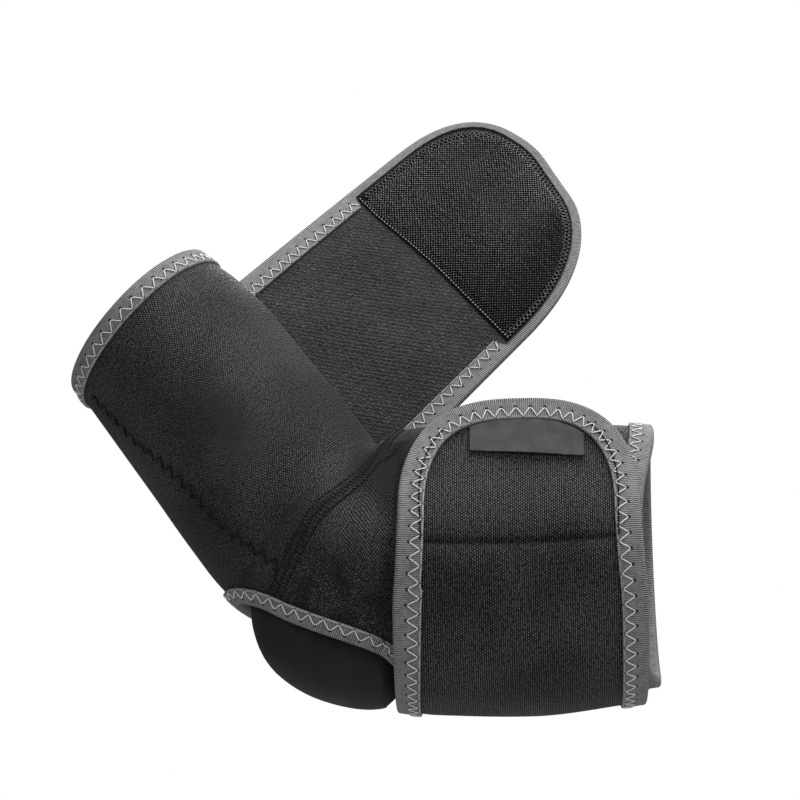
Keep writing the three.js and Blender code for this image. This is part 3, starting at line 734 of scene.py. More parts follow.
@dataclass
class EdgeLine:
    """An edge of cloth that a tape is folded over and sewn to."""

    surface: ArmForm | StrapForm
    edge: Array
    side: float
    closed: bool = False
    half_step: float = 0.6

    @cached_property
    def lengths(self) -> Array:
        """Length to each edge point, and to the start again if it is closed."""
        edge = self.unrolled
        return run_lengths(self.surface.point(edge[:, 0], edge[:, 1], np.zeros(len(edge))))

    @cached_property
    def unrolled(self) -> Array:
        """The edge with its start again if it is closed, and no jump of 360 degrees."""
        if not self.closed:
            return self.edge
        s, theta = np.concatenate([self.edge, self.edge[:1]]).T
        return paired(s, np.degrees(np.unwrap(np.radians(theta))))

    def at(self, x: Array) -> tuple[Array, Array]:
        """Return the edge's place and way at lengths x."""
        edge, total, h = self.unrolled, self.lengths[-1], self.half_step

        def place(v: Array) -> Array:
            turns = np.floor(v / total) if self.closed else np.zeros_like(v)
            v = v - turns * total
            found = paired(*(np.interp(v, self.lengths, part) for part in edge.T))
            return found + turns[:, None] * (edge[-1] - edge[0])

        if self.closed:
            return place(x), place(x + h) - place(x - h)
        low, high = np.maximum(x - h, 0), np.minimum(x + h, total)
        return place(x), place(high) - place(low)

    def place(self, x: Array, inward: Array, offset: Array) -> Array:
        """Return points at lengths x, inward of the edge and off the outer face."""
        edge, way = self.at(x)
        tangents = self.surface.tangents(edge[:, 0], edge[:, 1])
        u, v = stepped_in(tangents, edge, way, self.side, inward)
        return self.surface.point(u, v, np.broadcast_to(offset, u.shape))

    def thread(self, x: Array, inward: Array, rise: Array, radius: float, way: float = 1.0
               ) -> Shell:
        """Thread at lengths x, inward of the edge and rise off the outer face."""
        def place(height: Array) -> Array:
            return self.place(x, inward[:, None], height[:, None])[:, 0]

        return thread(place, rise, radius, way, self.closed)


@dataclass
class Binding:
    """Ribbed tape folded over an edge, held by a zigzag of thread on both faces."""

    name: str
    line: EdgeLine
    width: float
    clearance: float = CLEARANCE
    stitch_pitch: float = 6.2
    stitch_near: float = 3.4
    stitch_far: float = 7.2
    thread: float = 0.28
    spacing: float = 1.1
    narrow_from: Callable[[Array], Array] | None = None
    press: float = 0.35
    press_width: float = 0.7
    cord: float = 0.3
    selvedge_shares: tuple[float, ...] = (1.0, 0.985, 0.965, 0.945, 0.92)

    @cached_property
    def count(self) -> int:
        """Whole number of zigzags along the edge."""
        return max(1, round(self.line.lengths[-1] / self.stitch_pitch))

    def pressed(self, x: Array, inward: Array) -> Array:
        """Depth that the thread pulls the tape down by, deepest at the needle holes."""
        wave = triangle(x[:, None] / self.line.lengths[-1] * self.count)
        middle = self.stitch_near + (self.stitch_far - self.stitch_near) * wave
        hole = np.abs(2 * wave - 1) ** 6
        return self.press * bump(inward - middle, self.press_width) * (0.5 + 1.1 * hole)

    def section(self, x: Array) -> tuple[Array, Array, Array]:
        """Inward distance, offset and width place of the tape's section at each x.

        The section runs in from the outer leg's edge, round the fold and back under:
        it is a flat tube whose outer line is a half circle at the edge of the cloth.
        """
        low, high = self.clearance, self.clearance + TAPE
        inner = self.narrow_from(x) if self.narrow_from else np.full(len(x), self.width)
        wide, one = np.full(len(x), self.width), np.ones(len(x))
        run = np.concatenate([self.selvedge_shares, np.linspace(0.88, 0, 15)])
        turn = np.linspace(0, np.pi, 9)[1:-1]
        back, back_turn, middle = run[::-1], turn[::-1], FOAM / 2
        inset = 0.02
        runs = (
            TapeRun(wide, run, high + self.selvedge(run), 1.0),
            TapeRun(one, -(high + 0.1) * np.sin(turn), (middle + high) * np.cos(turn) - middle, 0.0),
            TapeRun(inner, back, -FOAM - high - self.selvedge(back), -1.0),
            TapeRun(inner, run[:-1], np.full(len(run) - 1, inset - FOAM - low), 0.0),
            TapeRun(one, -low * np.sin(back_turn), (middle + low) * np.cos(back_turn) - middle, 0.0),
            TapeRun(wide, back, low - inset - 0.3 * smoothstep(back, 0.86, 1.0), 0.0),
        )
        inward = np.concatenate([np.outer(run.width, run.share) for run in runs], axis=1)
        offset = np.concatenate([run.offset for run in runs])
        face = np.concatenate([np.full(len(run.offset), run.face) for run in runs])
        return inward, np.broadcast_to(offset, inward.shape), face

    def selvedge(self, share: Array) -> Array:
        """Height that a corded inner edge adds, with a hollow just outside it."""
        cord = bump(share - 0.95, 0.04) * self.cord
        edge = smoothstep(share, 0.975, 1.0) * (TAPE + 0.1)
        return cord - 0.12 * bump(share - 0.85, 0.08) - edge

    def tape(self, material: Material) -> Piece:
        """Make the tape itself."""
        total = self.line.lengths[-1]
        rings = max(8, round(total / self.spacing)) + self.line.closed
        x = np.linspace(0, total, rings)
        inward, offset, face = self.section(x)
        offset = offset - face * self.pressed(x, inward) * (inward > 1.2)
        points = self.line.place(x, inward, offset)
        columns = inward.shape[1]
        quads = grid_quads(rings, columns, wrap_columns=True)
        if not self.line.closed:
            k = np.arange(columns // 2 - 1)
            cap = np.stack([k, k + 1, columns - 2 - k, columns - 1 - k], axis=1)
            quads = np.concatenate([quads, cap, cap[:, ::-1] + (rings - 1) * columns])
        run = np.concatenate([[0], np.cumsum(np.hypot(np.diff(inward[0]), np.diff(offset[0])))])
        cloth = paired(x[:, None], run).reshape(-1, 2)
        share = (inward - self.stitch_near) / (self.stitch_far - self.stitch_near)
        share = np.where(face == 0, NO_STITCH, share)
        stitch = paired(x[:, None] / total * self.count, share).reshape(-1, 2)
        shell = Shell(points.reshape(-1, 3), quads, cloth, np.zeros(len(quads), int), stitch)
        return make_piece(self.name, shell, [material], crease=70)

    def zigzag(self, face: Face, material: Material) -> Piece:
        """Make the zigzag of thread on one face."""
        total, closed = self.line.lengths[-1], self.line.closed
        steps = self.count * STEPS_PER_ZIGZAG
        x = np.linspace(0, total, steps + (not closed), endpoint=not closed)
        runs = [x]
        if face is Face.INNER and self.narrow_from is not None:
            wide = self.narrow_from(x) > self.width * 0.98
            runs = [x[wide & (x < total / 2)], x[wide & (x > total / 2)]]
        threads = [self.thread_run(run, face) for run in runs]
        suffix = "" if face is Face.OUTER else "_inside"
        return thread_piece(self.name.replace("binding", "zigzag") + suffix, threads, material)

    def thread_run(self, x: Array, face: Face) -> Shell:
        """Thread along one stretch of the edge."""
        wave = triangle(x / self.line.lengths[-1] * self.count)
        rounded = 0.5 - 0.5 * np.cos(np.pi * np.clip((wave - 0.02) / 0.96, 0, 1))
        wave = 0.75 * wave + 0.25 * rounded
        inward = self.stitch_near + (self.stitch_far - self.stitch_near) * wave
        arch = 1 - np.abs(2 * wave - 1) ** 5
        height = self.clearance + TAPE - 0.25 + 0.5 * arch
        offset = height if face is Face.OUTER else -FOAM - height
        return self.line.thread(x, inward, offset, self.thread, face.value)


# Finishes

Term = Socket | float
Colour = Triple


class Graph:
    """Short-hand for laying nodes in one tree."""

    def __init__(self, tree: Tree) -> None:
        """Keep the tree that nodes go into."""
        self.tree = tree

    def fill(self, node: Node, inputs: dict[str | int, object]) -> None:
        """Link sockets to a node's inputs and set plain values on them."""
        for key, value in inputs.items():
            if isinstance(value, Socket):
                self.tree.links.new(value, node.inputs[key])
            else:
                node.inputs[key].default_value = value

    def node(self, kind: str, inputs: dict[str | int, object] | None = None,
             **settings: object) -> Node:
        """Add a node.

        Args:
            kind: the node's type name.
            inputs: sockets to link and plain values to set, by input.
            settings: the node's own properties.

        Returns:
            The new node.
        """
        node = self.tree.nodes.new(kind)
        for key, value in settings.items():
            setattr(node, key, value)
        self.fill(node, inputs or {})
        return node

    def math(self, operation: str, *terms: Term) -> Socket:
        """Return the result of a Math node."""
        node = self.node("ShaderNodeMath", dict(enumerate(terms)), operation=operation)
        return node.outputs[0]

    def add(self, a: Term, b: Term) -> Socket:
        """Return a + b."""
        return self.math("ADD", a, b)

    def minus(self, a: Term, b: Term) -> Socket:
        """Return a - b."""
        return self.math("SUBTRACT", a, b)

    def times(self, a: Term, b: Term) -> Socket:
        """Return a b."""
        return self.math("MULTIPLY", a, b)

    def over(self, a: Term, b: Term) -> Socket:
        """Return a / b."""
        return self.math("DIVIDE", a, b)

    def line(self, x: Term, slope: float, start: float) -> Socket:
        """Return slope x + start."""
        return self.math("MULTIPLY_ADD", x, slope, start)

    def wave(self, turns: Term) -> Socket:
        """Return 0.5 + 0.5 sin(2 pi turns)."""
        return self.line(self.math("SINE", self.times(turns, 2 * math.pi)), 0.5, 0.5)

    def zigzag(self, turns: Term) -> Socket:
        """Return a triangle wave from 0 to 1 and back for each turn."""
        return self.times(self.math("PINGPONG", turns, 0.5), 2.0)

    def ramp(self, value: Term, low: float, high: float, out_low: float = 0.0,
             out_high: float = 1.0) -> Socket:
        """Return value eased from low..high to out_low..out_high."""
        return self.node("ShaderNodeMapRange", {
            "Value": value, "From Min": low, "From Max": high, "To Min": out_low,
            "To Max": out_high}, interpolation_type="SMOOTHSTEP").outputs["Result"]

    def noise(self, place: Socket, scale: float, detail: float = 2.0) -> Socket:
        """Return soft noise at a place, about 0.5."""
        return self.node("ShaderNodeTexNoise", {
            "Vector": place, "Scale": scale, "Detail": detail}).outputs["Fac"]

    def colour(self, share: Term, dark: Socket | Colour, light: Colour) -> Socket:
        """Return a mix of two colours."""
        first = dark if isinstance(dark, Socket) else (*dark, 1.0)
        return self.node("ShaderNodeMix", {0: share, 6: first, 7: (*light, 1.0)},
                         data_type="RGBA").outputs[2]

    def split(self, vector: Socket) -> tuple[Socket, Socket]:
        """Return the first two parts of a vector."""
        return tuple(self.node("ShaderNodeSeparateXYZ", {0: vector}).outputs[:2])


class GroupGraph(Graph):
    """A node group in the making: its first input is a place and the rest are sizes."""

    def __init__(self, name: str, inputs: tuple[str, ...], outputs: tuple[str, ...]) -> None:
        """Start the group with its sockets."""
        super().__init__(bpy.data.node_groups.new(name, "ShaderNodeTree"))
        for way, labels in (("INPUT", inputs), ("OUTPUT", outputs)):
            for label in labels:
                vector = way == "INPUT" and label == inputs[0]
                kind = "NodeSocketVector" if vector else "NodeSocketFloat"
                self.tree.interface.new_socket(name=label, in_out=way, socket_type=kind)
        self.given = self.node("NodeGroupInput").outputs[:len(inputs)]
        self.out = self.node("NodeGroupOutput")

    def put(self, **results: Socket) -> Tree:
        """Link the results to the group's outputs and return the group."""
        self.fill(self.out, results)
        return self.tree


class Pattern:
    """Shader node groups that more than one finish uses, each built once."""

    @cached_property
    def knit(self) -> Tree:
        """Courses of small slanted loops: |sin| across, and along it a chevron wave."""
        g = GroupGraph("knit_wales", ("Cloth", "Wale", "Course", "Wander"), ("Height", "Loop"))
        cloth, wale, course, wander = g.given
        drift = g.times(g.minus(g.noise(cloth, 160.0), 0.5), wander)
        u, v = g.split(cloth)
        across = g.add(g.over(v, course), drift)
        along = g.add(g.over(u, wale), drift)
        ridge = g.math("ABSOLUTE", g.math("SINE", g.times(across, math.pi)))
        staggered = g.add(along, g.times(g.math("FLOOR", across), 0.5))
        loop = g.wave(g.add(staggered, g.times(g.zigzag(across), 0.4)))
        return g.put(Height=g.times(ridge, g.line(loop, 0.6, 0.4)),
                     Loop=g.times(g.ramp(ridge, 0.35, 1.0), g.line(loop, 0.75, 0.25)))

    @cached_property
    def dashes(self) -> Tree:
        """Rows of short slanted dashes, each row a third of a dash on from the last."""
        g = GroupGraph("slanted_dashes", ("Cloth", "Pitch", "Length", "Slope"), ("Height",))
        cloth, pitch, length, slope = g.given
        drift = g.times(g.minus(g.noise(cloth, 600.0), 0.5), 1.5)
        u, v = g.split(cloth)
        across = g.add(g.over(v, pitch), drift)
        along = g.add(g.over(u, length), drift)
        shifted = g.add(along, g.times(g.math("FLOOR", across), 0.36))
        b = g.minus(g.math("FRACT", shifted), 0.5)
        a = g.minus(g.math("FRACT", across), 0.5)
        off = g.math("ABSOLUTE", g.minus(a, g.times(b, slope)))
        return g.put(Height=g.times(g.ramp(off, 0.36, 0.05),
                                    g.ramp(g.math("ABSOLUTE", b), 0.5, 0.25)))

    @cached_property
    def ribs(self) -> Tree:
        """Fine ribs at right angles to a tape's length, with a faint twill between."""
        g = GroupGraph("tape_ribs", ("Cloth", "Pitch", "Twill"), ("Height",))
        cloth, pitch, share = g.given
        u, v = g.split(cloth)
        drift = g.times(g.noise(cloth, 500.0, 1.0), 0.5)
        rib = g.wave(g.add(g.over(u, pitch), drift))
        twill = g.wave(g.over(g.add(u, g.times(v, 1.6)), pitch))
        return g.put(Height=g.add(g.times(rib, g.minus(1.0, share)), g.times(twill, share)))

    @cached_property
    def wear(self) -> Tree:
        """Large soft patches, and small specks of lint where the cloth is rubbed."""
        g = GroupGraph("patches_and_lint", ("Place", "Amount"), ("Patches", "Lint"))
        place, amount = g.given
        specks = g.ramp(g.noise(place, 2300.0, 1.0), 0.58, 0.7)
        clumps = g.ramp(g.noise(place, 70.0, 2.0), 0.36, 0.6)
        return g.put(Patches=g.ramp(g.noise(place, 22.0, 3.0), 0.3, 0.7),
                     Lint=g.times(specks, g.times(clumps, amount)))


class Paint(Graph):
    """The nodes of a new material, with what every finish needs."""

    def __init__(self, name: str) -> None:
        """Make the material."""
        self.material = bpy.data.materials.new(name)
        self.material.use_nodes = True
        super().__init__(self.material.node_tree)

    @cached_property
    def cloth(self) -> Socket:
        """Place in the cloth's own plane."""
        return self.node("ShaderNodeUVMap", uv_map="cloth").outputs[0]

    @cached_property
    def place(self) -> Socket:
        """Place in the object."""
        return self.node("ShaderNodeTexCoord").outputs["Object"]

    def group(self, tree: Tree, **sizes: float) -> Node:
        """Add a pattern that lies in the cloth's plane."""
        return self.node("ShaderNodeGroup", {"Cloth": self.cloth, **sizes}, node_tree=tree)

    def away(self, centre: Triple) -> Socket:
        """Return the distance from a centre in the object."""
        return self.node("ShaderNodeVectorMath", {0: self.place, 1: centre},
                         operation="DISTANCE").outputs["Value"]

    def finish(self, tone: Socket, roughness: Term, height: Socket | None = None,
               relief: float = 0.0, shine: float = 0.5, **more: float) -> Material:
        """Link a finish to the shader.

        Args:
            tone: the colour.
            roughness: the roughness, one value or one that varies.
            height: the grain's height, from 0 to 1.
            relief: what a height of 1 stands for, in metres.
            shine: the specular level.
            more: further inputs of the shader, with _ for a space.

        Returns:
            The material.
        """
        inputs = {"Base Color": tone, "Roughness": roughness, "Specular IOR Level": shine}
        inputs.update({key.replace("_", " "): value for key, value in more.items()})
        if height is not None:
            grain = self.node("ShaderNodeBump", {"Height": height, "Distance": relief})
            inputs["Normal"] = grain.outputs[0]
        self.fill(self.tree.nodes["Principled BSDF"], inputs)
        return self.material


@dataclass(frozen=True)
class KnitFinish:
    """Jersey face of the foam cloth: fine wales, each loop a small glint, with painted shade in the
    crook.
    """

    name: str = "jersey"
    dark: Colour = (0.001, 0.001, 0.0011)
    light: Colour = (0.12, 0.1205, 0.124)
    lint_tone: Colour = (0.2, 0.2, 0.205)
    wale: float = 0.0012
    course: float = 0.00086
    wander: float = 0.7
    fuzz: float = 900.0
    relief: float = 0.0005
    roughness: Pair = (0.7, 0.42)
    rubbed_place: Triple = (-0.002, -0.04, -0.026)
    rubbed_radius: float = 0.034
    # Centre and radius of the painted shade in the crook, standing for the shadow that the straps
    # and the deep fold cast there.
    crook_shade_place: Triple = (0.027, -0.034, 0.03)
    crook_shade_radius: float = 0.03

    def build(self, pattern: Pattern) -> Material:
        """Build the material."""
        g = Paint(self.name)
        knit = g.group(pattern.knit, Wale=self.wale, Course=self.course, Wander=self.wander)
        rubbed = g.ramp(g.away(self.rubbed_place), self.rubbed_radius, self.rubbed_radius * 0.4)
        wear = g.node("ShaderNodeGroup", {"Place": g.place, "Amount": rubbed},
                      node_tree=pattern.wear)
        patches = g.ramp(wear.outputs["Patches"], 0, 1, 0.6, 1.3)
        fuzz = g.ramp(g.noise(g.cloth, self.fuzz), 0.34, 0.68, 0.25, 1.9)
        share = g.times(g.times(g.math("POWER", knit.outputs["Loop"], 1.4), fuzz), patches)
        # Round rubbed_place the knit's light share drops by up to 55%, making a darker patch where
        # lint specks also gather.
        share = g.times(share, g.line(rubbed, -0.55, 1.0))
        # Painted shade: the knit's light share falls to 6% near the crook, for the shadow of the
        # straps and the fold.
        shade = g.ramp(g.away(self.crook_shade_place), self.crook_shade_radius * 0.45, self.crook_shade_radius,
                       0.06, 1.0)
        knitted = g.colour(g.times(share, shade), self.dark, self.light)
        height = g.add(knit.outputs["Height"], g.times(g.noise(g.place, 60.0), 0.8))
        return g.finish(g.colour(wear.outputs["Lint"], knitted, self.lint_tone),
                        g.ramp(knit.outputs["Height"], 0, 1, *self.roughness), height,
                        self.relief, 0.14, Sheen_Weight=0.03, Sheen_Roughness=0.45)


@dataclass(frozen=True)
class LoopFinish:
    """Loop side of the foam cloth: rows of short slanted dashes."""

    name: str = "loop_lining"
    dark: Colour = (0.007, 0.007, 0.0075)
    light: Colour = (0.105, 0.106, 0.11)
    pitch: float = 0.00105
    length: float = 0.0023
    slope: float = -0.7
    relief: float = 0.0003
    shine: float = 0.1

    def build(self, pattern: Pattern) -> Material:
        """Build the material."""
        g = Paint(self.name)
        dashes = g.group(pattern.dashes, Pitch=self.pitch, Length=self.length,
                         Slope=self.slope).outputs[0]
        fuzz = g.noise(g.cloth, 2400.0)
        share = g.add(g.times(dashes, 0.65), g.times(fuzz, 0.6))
        patches = g.ramp(g.noise(g.place, 30.0), 0.3, 0.7, 0.85, 1.12)
        share = g.minus(g.times(share, patches), 0.18)
        return g.finish(g.colour(share, self.dark, self.light), g.ramp(dashes, 0, 1, 0.95, 0.75),
                        g.add(dashes, g.times(fuzz, 0.8)), self.relief, self.shine)


@dataclass(frozen=True)
class StretchFinish:
    """Smooth matt stretch cloth with hardly any grain."""

    name: str = "stretch_cloth"
    dark: Colour = (0.003, 0.003, 0.0032)
    light: Colour = (0.011, 0.011, 0.012)
    loop: float = 0.0005
    wander: float = 0.4
    relief: float = 0.00005
    shine: float = 0.3

    def build(self, pattern: Pattern) -> Material:
        """Build the material."""
        g = Paint(self.name)
        knit = g.group(pattern.knit, Wale=self.loop, Course=self.loop, Wander=self.wander)
        return g.finish(g.colour(knit.outputs["Loop"], self.dark, self.light),
                        g.ramp(g.noise(g.cloth, 60.0), 0.3, 0.7, 0.62, 0.74),
                        knit.outputs["Height"], self.relief, self.shine)


@dataclass(frozen=True)
class TapeFinish:
    """Ribbed binding tape with dark needle holes along the zigzag."""

    name: str = "ribbed_tape"
    dark: Colour = (0.02, 0.0205, 0.022)
    light: Colour = (0.335, 0.34, 0.353)
    cord: Colour = (0.42, 0.425, 0.44)
    hole: Colour = (0.004, 0.004, 0.004)
    rib: float = 0.00085
    twill: float = 0.2
    relief: float = 0.0004
    shine: float = 0.3
    stitch_pitch: float = 6.2
    stitch_depth: float = 4.2
    hole_radius: float = 0.85

    def build(self, pattern: Pattern) -> Material:
        """Build the material."""
        g = Paint(self.name)
        ribs = g.group(pattern.ribs, Pitch=self.rib, Twill=self.twill).outputs[0]
        phase, share = g.split(g.node("ShaderNodeUVMap", uv_map="stitch").outputs[0])
        near = self.hole_mask(g, phase, share, 0.5, -0.08)
        far = g.times(self.hole_mask(g, phase, share, 0.0, 1.04), 0.7)
        holes = g.math("MAXIMUM", near, far)
        mottle = g.ramp(g.noise(g.cloth, 260.0, 3.0), 0.3, 0.7, -0.1, 0.1)
        fold = g.ramp(share, -0.72, -0.95)
        plain = g.line(ribs, 0.62, 0.2)
        sharp = g.ramp(ribs, 0.3, 0.7, -0.1, 1.15)
        tone = g.add(g.add(plain, g.times(g.minus(sharp, plain), fold)), mottle)
        corded = g.times(g.ramp(share, 1.06, 1.12), g.ramp(ribs, 0.1, 0.5, 0.45, 1.0))
        ribbed = g.colour(corded, g.colour(tone, self.dark, self.light), self.cord)
        return g.finish(g.colour(holes, ribbed, self.hole), g.ramp(ribs, 0, 1, 0.78, 0.58),
                        g.minus(ribs, g.times(holes, 2.0)), self.relief, self.shine)

    def hole_mask(self, g: Graph, phase: Socket, share: Socket, shift: float, row: float
                  ) -> Socket:
        """Return 1 in the needle holes of one row of the zigzag's corners."""
        a = g.times(g.minus(g.math("FRACT", g.add(phase, shift)), 0.5), self.stitch_pitch)
        b = g.times(g.minus(share, row), self.stitch_depth)
        away = g.math("SQRT", g.add(g.times(a, a), g.times(b, b)))
        return g.ramp(away, self.hole_radius, self.hole_radius * 0.5)


@dataclass(frozen=True)
class ThreadFinish:
    """Sewing thread of two twisted plies."""

    name: str
    dark: Colour
    light: Colour
    roughness: float = 0.42
    shine: float = 0.5
    ply: float = 0.0007
    relief: float = 0.0001

    def build(self) -> Material:
        """Build the material."""
        g = Paint(self.name)
        u, v = g.split(g.cloth)
        plies = g.wave(g.add(g.over(u, self.ply), g.over(v, self.ply)))
        return g.finish(g.colour(plies, self.dark, self.light), self.roughness, plies,
                        self.relief, self.shine)


@dataclass(frozen=True)
class TwillFinish:
    """Fine dark twill with soft patches: the moulded hooks, their ground and the tag."""

    name: str
    dark: Colour
    light: Colour
    roughness: Pair
    shine: float
    pitch: float = 0.0007
    twill: float = 0.5
    patch_scale: float = 300.0
    patch_detail: float = 2.0
    patch_least: float = 0.5
    relief: float = 0.0001

    def build(self, pattern: Pattern) -> Material:
        """Build the material."""
        g = Paint(self.name)
        ribs = g.group(pattern.ribs, Pitch=self.pitch, Twill=self.twill).outputs[0]
        patches = g.ramp(g.noise(g.cloth, self.patch_scale, self.patch_detail), 0.3, 0.7,
                         self.patch_least, 1.2)
        return g.finish(g.colour(g.times(ribs, patches), self.dark, self.light),
                        g.ramp(ribs, 0, 1, *self.roughness), ribs, self.relief, self.shine)


@dataclass(frozen=True)
class StudioFinish:
    """Pale paper floor."""

    name: str = "pale_floor"
    tone: Colour = (0.5, 0.5, 0.5)
    light: Colour = (0.52, 0.52, 0.52)
    roughness: float = 0.9

    def build(self) -> Material:
        """Build the material."""
        g = Paint(self.name)
        return g.finish(g.colour(g.noise(g.place, 3.0), self.tone, self.light), self.roughness)


class Finishes:
    """The brace's materials, each built once."""

    def __init__(self) -> None:
        """Build every finish."""
        pattern = Pattern()
        self.jersey = KnitFinish().build(pattern)
        self.lining = LoopFinish().build(pattern)
        self.stretch = StretchFinish().build(pattern)
        self.tape = TapeFinish().build(pattern)
        self.hooks = TwillFinish("moulded_hooks", (0.012, 0.012, 0.012), (0.075, 0.075, 0.077),
                                 (0.36, 0.26), 0.4).build(pattern)
        self.hook_ground = TwillFinish("hook_ground", (0.001, 0.001, 0.001),
                                       (0.004, 0.004, 0.0045), (0.9, 0.8), 0.06).build(pattern)
        self.woven = TwillFinish(
            "woven_tag", (0.014, 0.0145, 0.0155), (0.075, 0.077, 0.082), (0.75, 0.6), 0.2,
            pitch=0.00045, twill=0.6, patch_scale=120.0, patch_detail=3.0, patch_least=0.6,
            relief=0.00008).build(pattern)
        self.patch_thread = ThreadFinish("patch_thread", (0.006, 0.006, 0.006),
                                         (0.06, 0.06, 0.061), 0.35).build()
        # Painted highlight: light grey dots along the hook patch's straight edge stand for glints on
        # the black hooks' edges.
        self.glint_dot_thread = ThreadFinish("glint_dot_thread", (0.1, 0.1, 0.105),
                                        (0.5, 0.5, 0.51), 0.35).build()
        self.light_thread = ThreadFinish("light_thread", (0.42, 0.42, 0.43),
                                         (0.86, 0.86, 0.87)).build()
        self.dark_thread = ThreadFinish("dark_thread", (0.002, 0.002, 0.002),
                                        (0.018, 0.018, 0.019), 0.7, 0.15).build()
        self.floor = StudioFinish().build()


# The sleeve


@dataclass
class SleeveRelief:
    """Heights on the sleeve's outer face: the flat seam, a stitch row and creases."""

    arm: ArmForm
    band: float = 2.6
    band_rise: float = 0.25
    seam_groove: float = 0.25
    row_groove: float = 0.6
    row_pitch: float = 6.3
    row_width: float = 4.8
    row_groove_width: float = 2.2
    row_pucker: float = 0.4
    row_pucker_place: float = 3.2
    row_pucker_width: float = 2.4
    row_thread: float = 0.34
    ladder_pitch: float = 1.8
    ladder_over: float = 0.7
    ladder_reach: float = 1.12
    ladder_thread: float = 0.27
    chain_place: float = 0.75
    chain_sway: float = 0.35
    chain_thread: float = 0.42
    waviness: float = 0.16
    degree: float = 0.8
    least_span: float = 0.45
    row_knots: tuple[Pair, ...] = (
        (-88, -69), (-75, -63), (-61, -60), (-42, -51), (-24, -45), (-7, -43), (9, -37),
        (20, -31))
    creases: tuple[Crease, ...] = (
        Crease(knots=((60, 56), (58.5, 48), (58, 34), (57.5, 18), (55, 0)),
               depth=5.0, width=4.6),
        Crease(knots=((44, 12), (48, -4), (47, -22)), depth=-0.8, width=7.0),
        Crease(knots=((-4, 60), (2, 44), (4, 26)), depth=0.35, width=5.0),
        Crease(knots=((-60, -20), (-52, 10), (-46, 40)), depth=0.3, width=7.0),
    )

    @cached_property
    def row(self) -> Array:
        """Places along the dark zigzag row on the forearm."""
        return smooth_path(self.row_knots)

    def span(self, theta: Array) -> Array:
        """Millimetres for one unit of station at the seam."""
        along, _ = self.arm.tangents(self.arm.seam(theta), theta)
        return np.maximum(np.linalg.norm(along, axis=-1), self.least_span)

    def beside(self, path: Array, s: Array, theta: Array) -> tuple[Array, Array]:
        """Return how far places lie from a path, and the share of it they lie at."""
        scale = np.array([1, self.degree])
        off, share = beside(path * scale, paired(s, theta).reshape(-1, 2) * scale)
        return off.reshape(s.shape), share.reshape(s.shape)

    def height(self, s: Array, theta: Array) -> Array:
        """Return the height that the seam's band and the stitched row add."""
        away = np.abs(s - self.arm.seam(theta)) * self.span(theta)
        height = self.band_rise * (1 - smoothstep(away, self.band - 0.5, self.band + 0.6))
        height -= self.seam_groove * bump(away - self.band - 1.1, 0.9)
        off, share = self.beside(self.row, s, theta)
        inside = smoothstep(share, 0, 0.02) * (1 - smoothstep(share, 0.98, 1))
        length = run_lengths(self.row * np.array([1, self.degree]))[-1]
        pucker = self.row_pucker * np.cos(2 * np.pi * (share * length / self.row_pitch))
        beyond = bump(off - self.row_pucker_place, self.row_pucker_width)
        groove = self.row_groove * bump(off, self.row_groove_width)
        return height - inside * (groove - pucker * beyond)

    def folds(self, s: Array, theta: Array) -> Array:
        """Return how far the creases move the whole thickness of cloth."""
        height = np.zeros(s.shape)
        for crease in self.creases:
            off, share = self.beside(smooth_path(crease.knots), s, theta)
            fade = np.sin(np.pi * np.clip(share, 0.02, 0.98)) ** 0.6
            height -= crease.depth * bump(off, crease.width) * fade
        a = np.radians(theta)
        return height + self.waviness * (np.sin(s / 13 + 2 * a) * np.sin(3 * a - s / 31 + 1))

    def thread_row(self, material: Material) -> Piece:
        """Make the dark zigzag row."""
        line = EdgeLine(self.arm, self.row, 1)
        total = line.lengths[-1]
        count = round(total / self.row_pitch)
        x = np.linspace(0, total, count * STEPS_PER_ZIGZAG + 1)
        wave = triangle(x / total * count)
        inward = self.row_width * (wave - 0.5)
        rise = -0.3 + 0.25 * (1 - np.abs(2 * wave - 1) ** 5)
        row = line.thread(x, inward, rise, self.row_thread)
        return thread_piece("zigzag_forearm_row", [row], material)

    def seam_thread(self, theta: Array, across: Array, rise: Array, radius: float) -> Shell:
        """Thread beside the seam, across it and off the outer face."""
        s = self.arm.seam(theta) + across / self.span(theta)
        folds = self.folds(s, theta)
        return thread(lambda height: self.arm.point(s, theta, height + folds), rise, radius)

    def seam_threads(self, material: Material) -> list[Piece]:
        """Make the flat seam: slanted threads over the band and a chain beside each edge."""
        ends = self.arm.opening_half(np.array(self.arm.seam_station)) + 9
        theta = np.linspace(-90 + ends, 270 - ends, 1200)
        s = self.arm.seam(theta)
        lengths = run_lengths(self.arm.point(s, theta, self.folds(s, theta)))
        count = round(lengths[-1] / self.ladder_pitch)
        turns = np.linspace(0, count, count * 10 + 1)
        at = np.interp(turns / count * lengths[-1], lengths, theta)
        phase = turns - np.floor(turns)
        over = np.clip(phase / self.ladder_over, 0, 1)
        back = np.clip((phase - self.ladder_over) / (1 - self.ladder_over), 0, 1)
        across = self.band * (2 * (over - back) - 1) * self.ladder_reach
        rise = np.where(back > 0, -0.7, self.band_rise + 0.05 - np.abs(2 * over - 1) ** 4)
        ladder = [self.seam_thread(at, across, rise, self.ladder_thread)]
        beyond = self.band + self.chain_place + self.chain_sway * np.sin(2 * np.pi * turns)
        rise = -0.32 + 0.45 * np.cos(2 * np.pi * turns + 1.2)
        chains = [self.seam_thread(at, side * beyond, rise, self.chain_thread)
                  for side in (-1, 1)]
        return [thread_piece("seam_ladder", ladder, material),
                thread_piece("seam_chain", chains, material)]


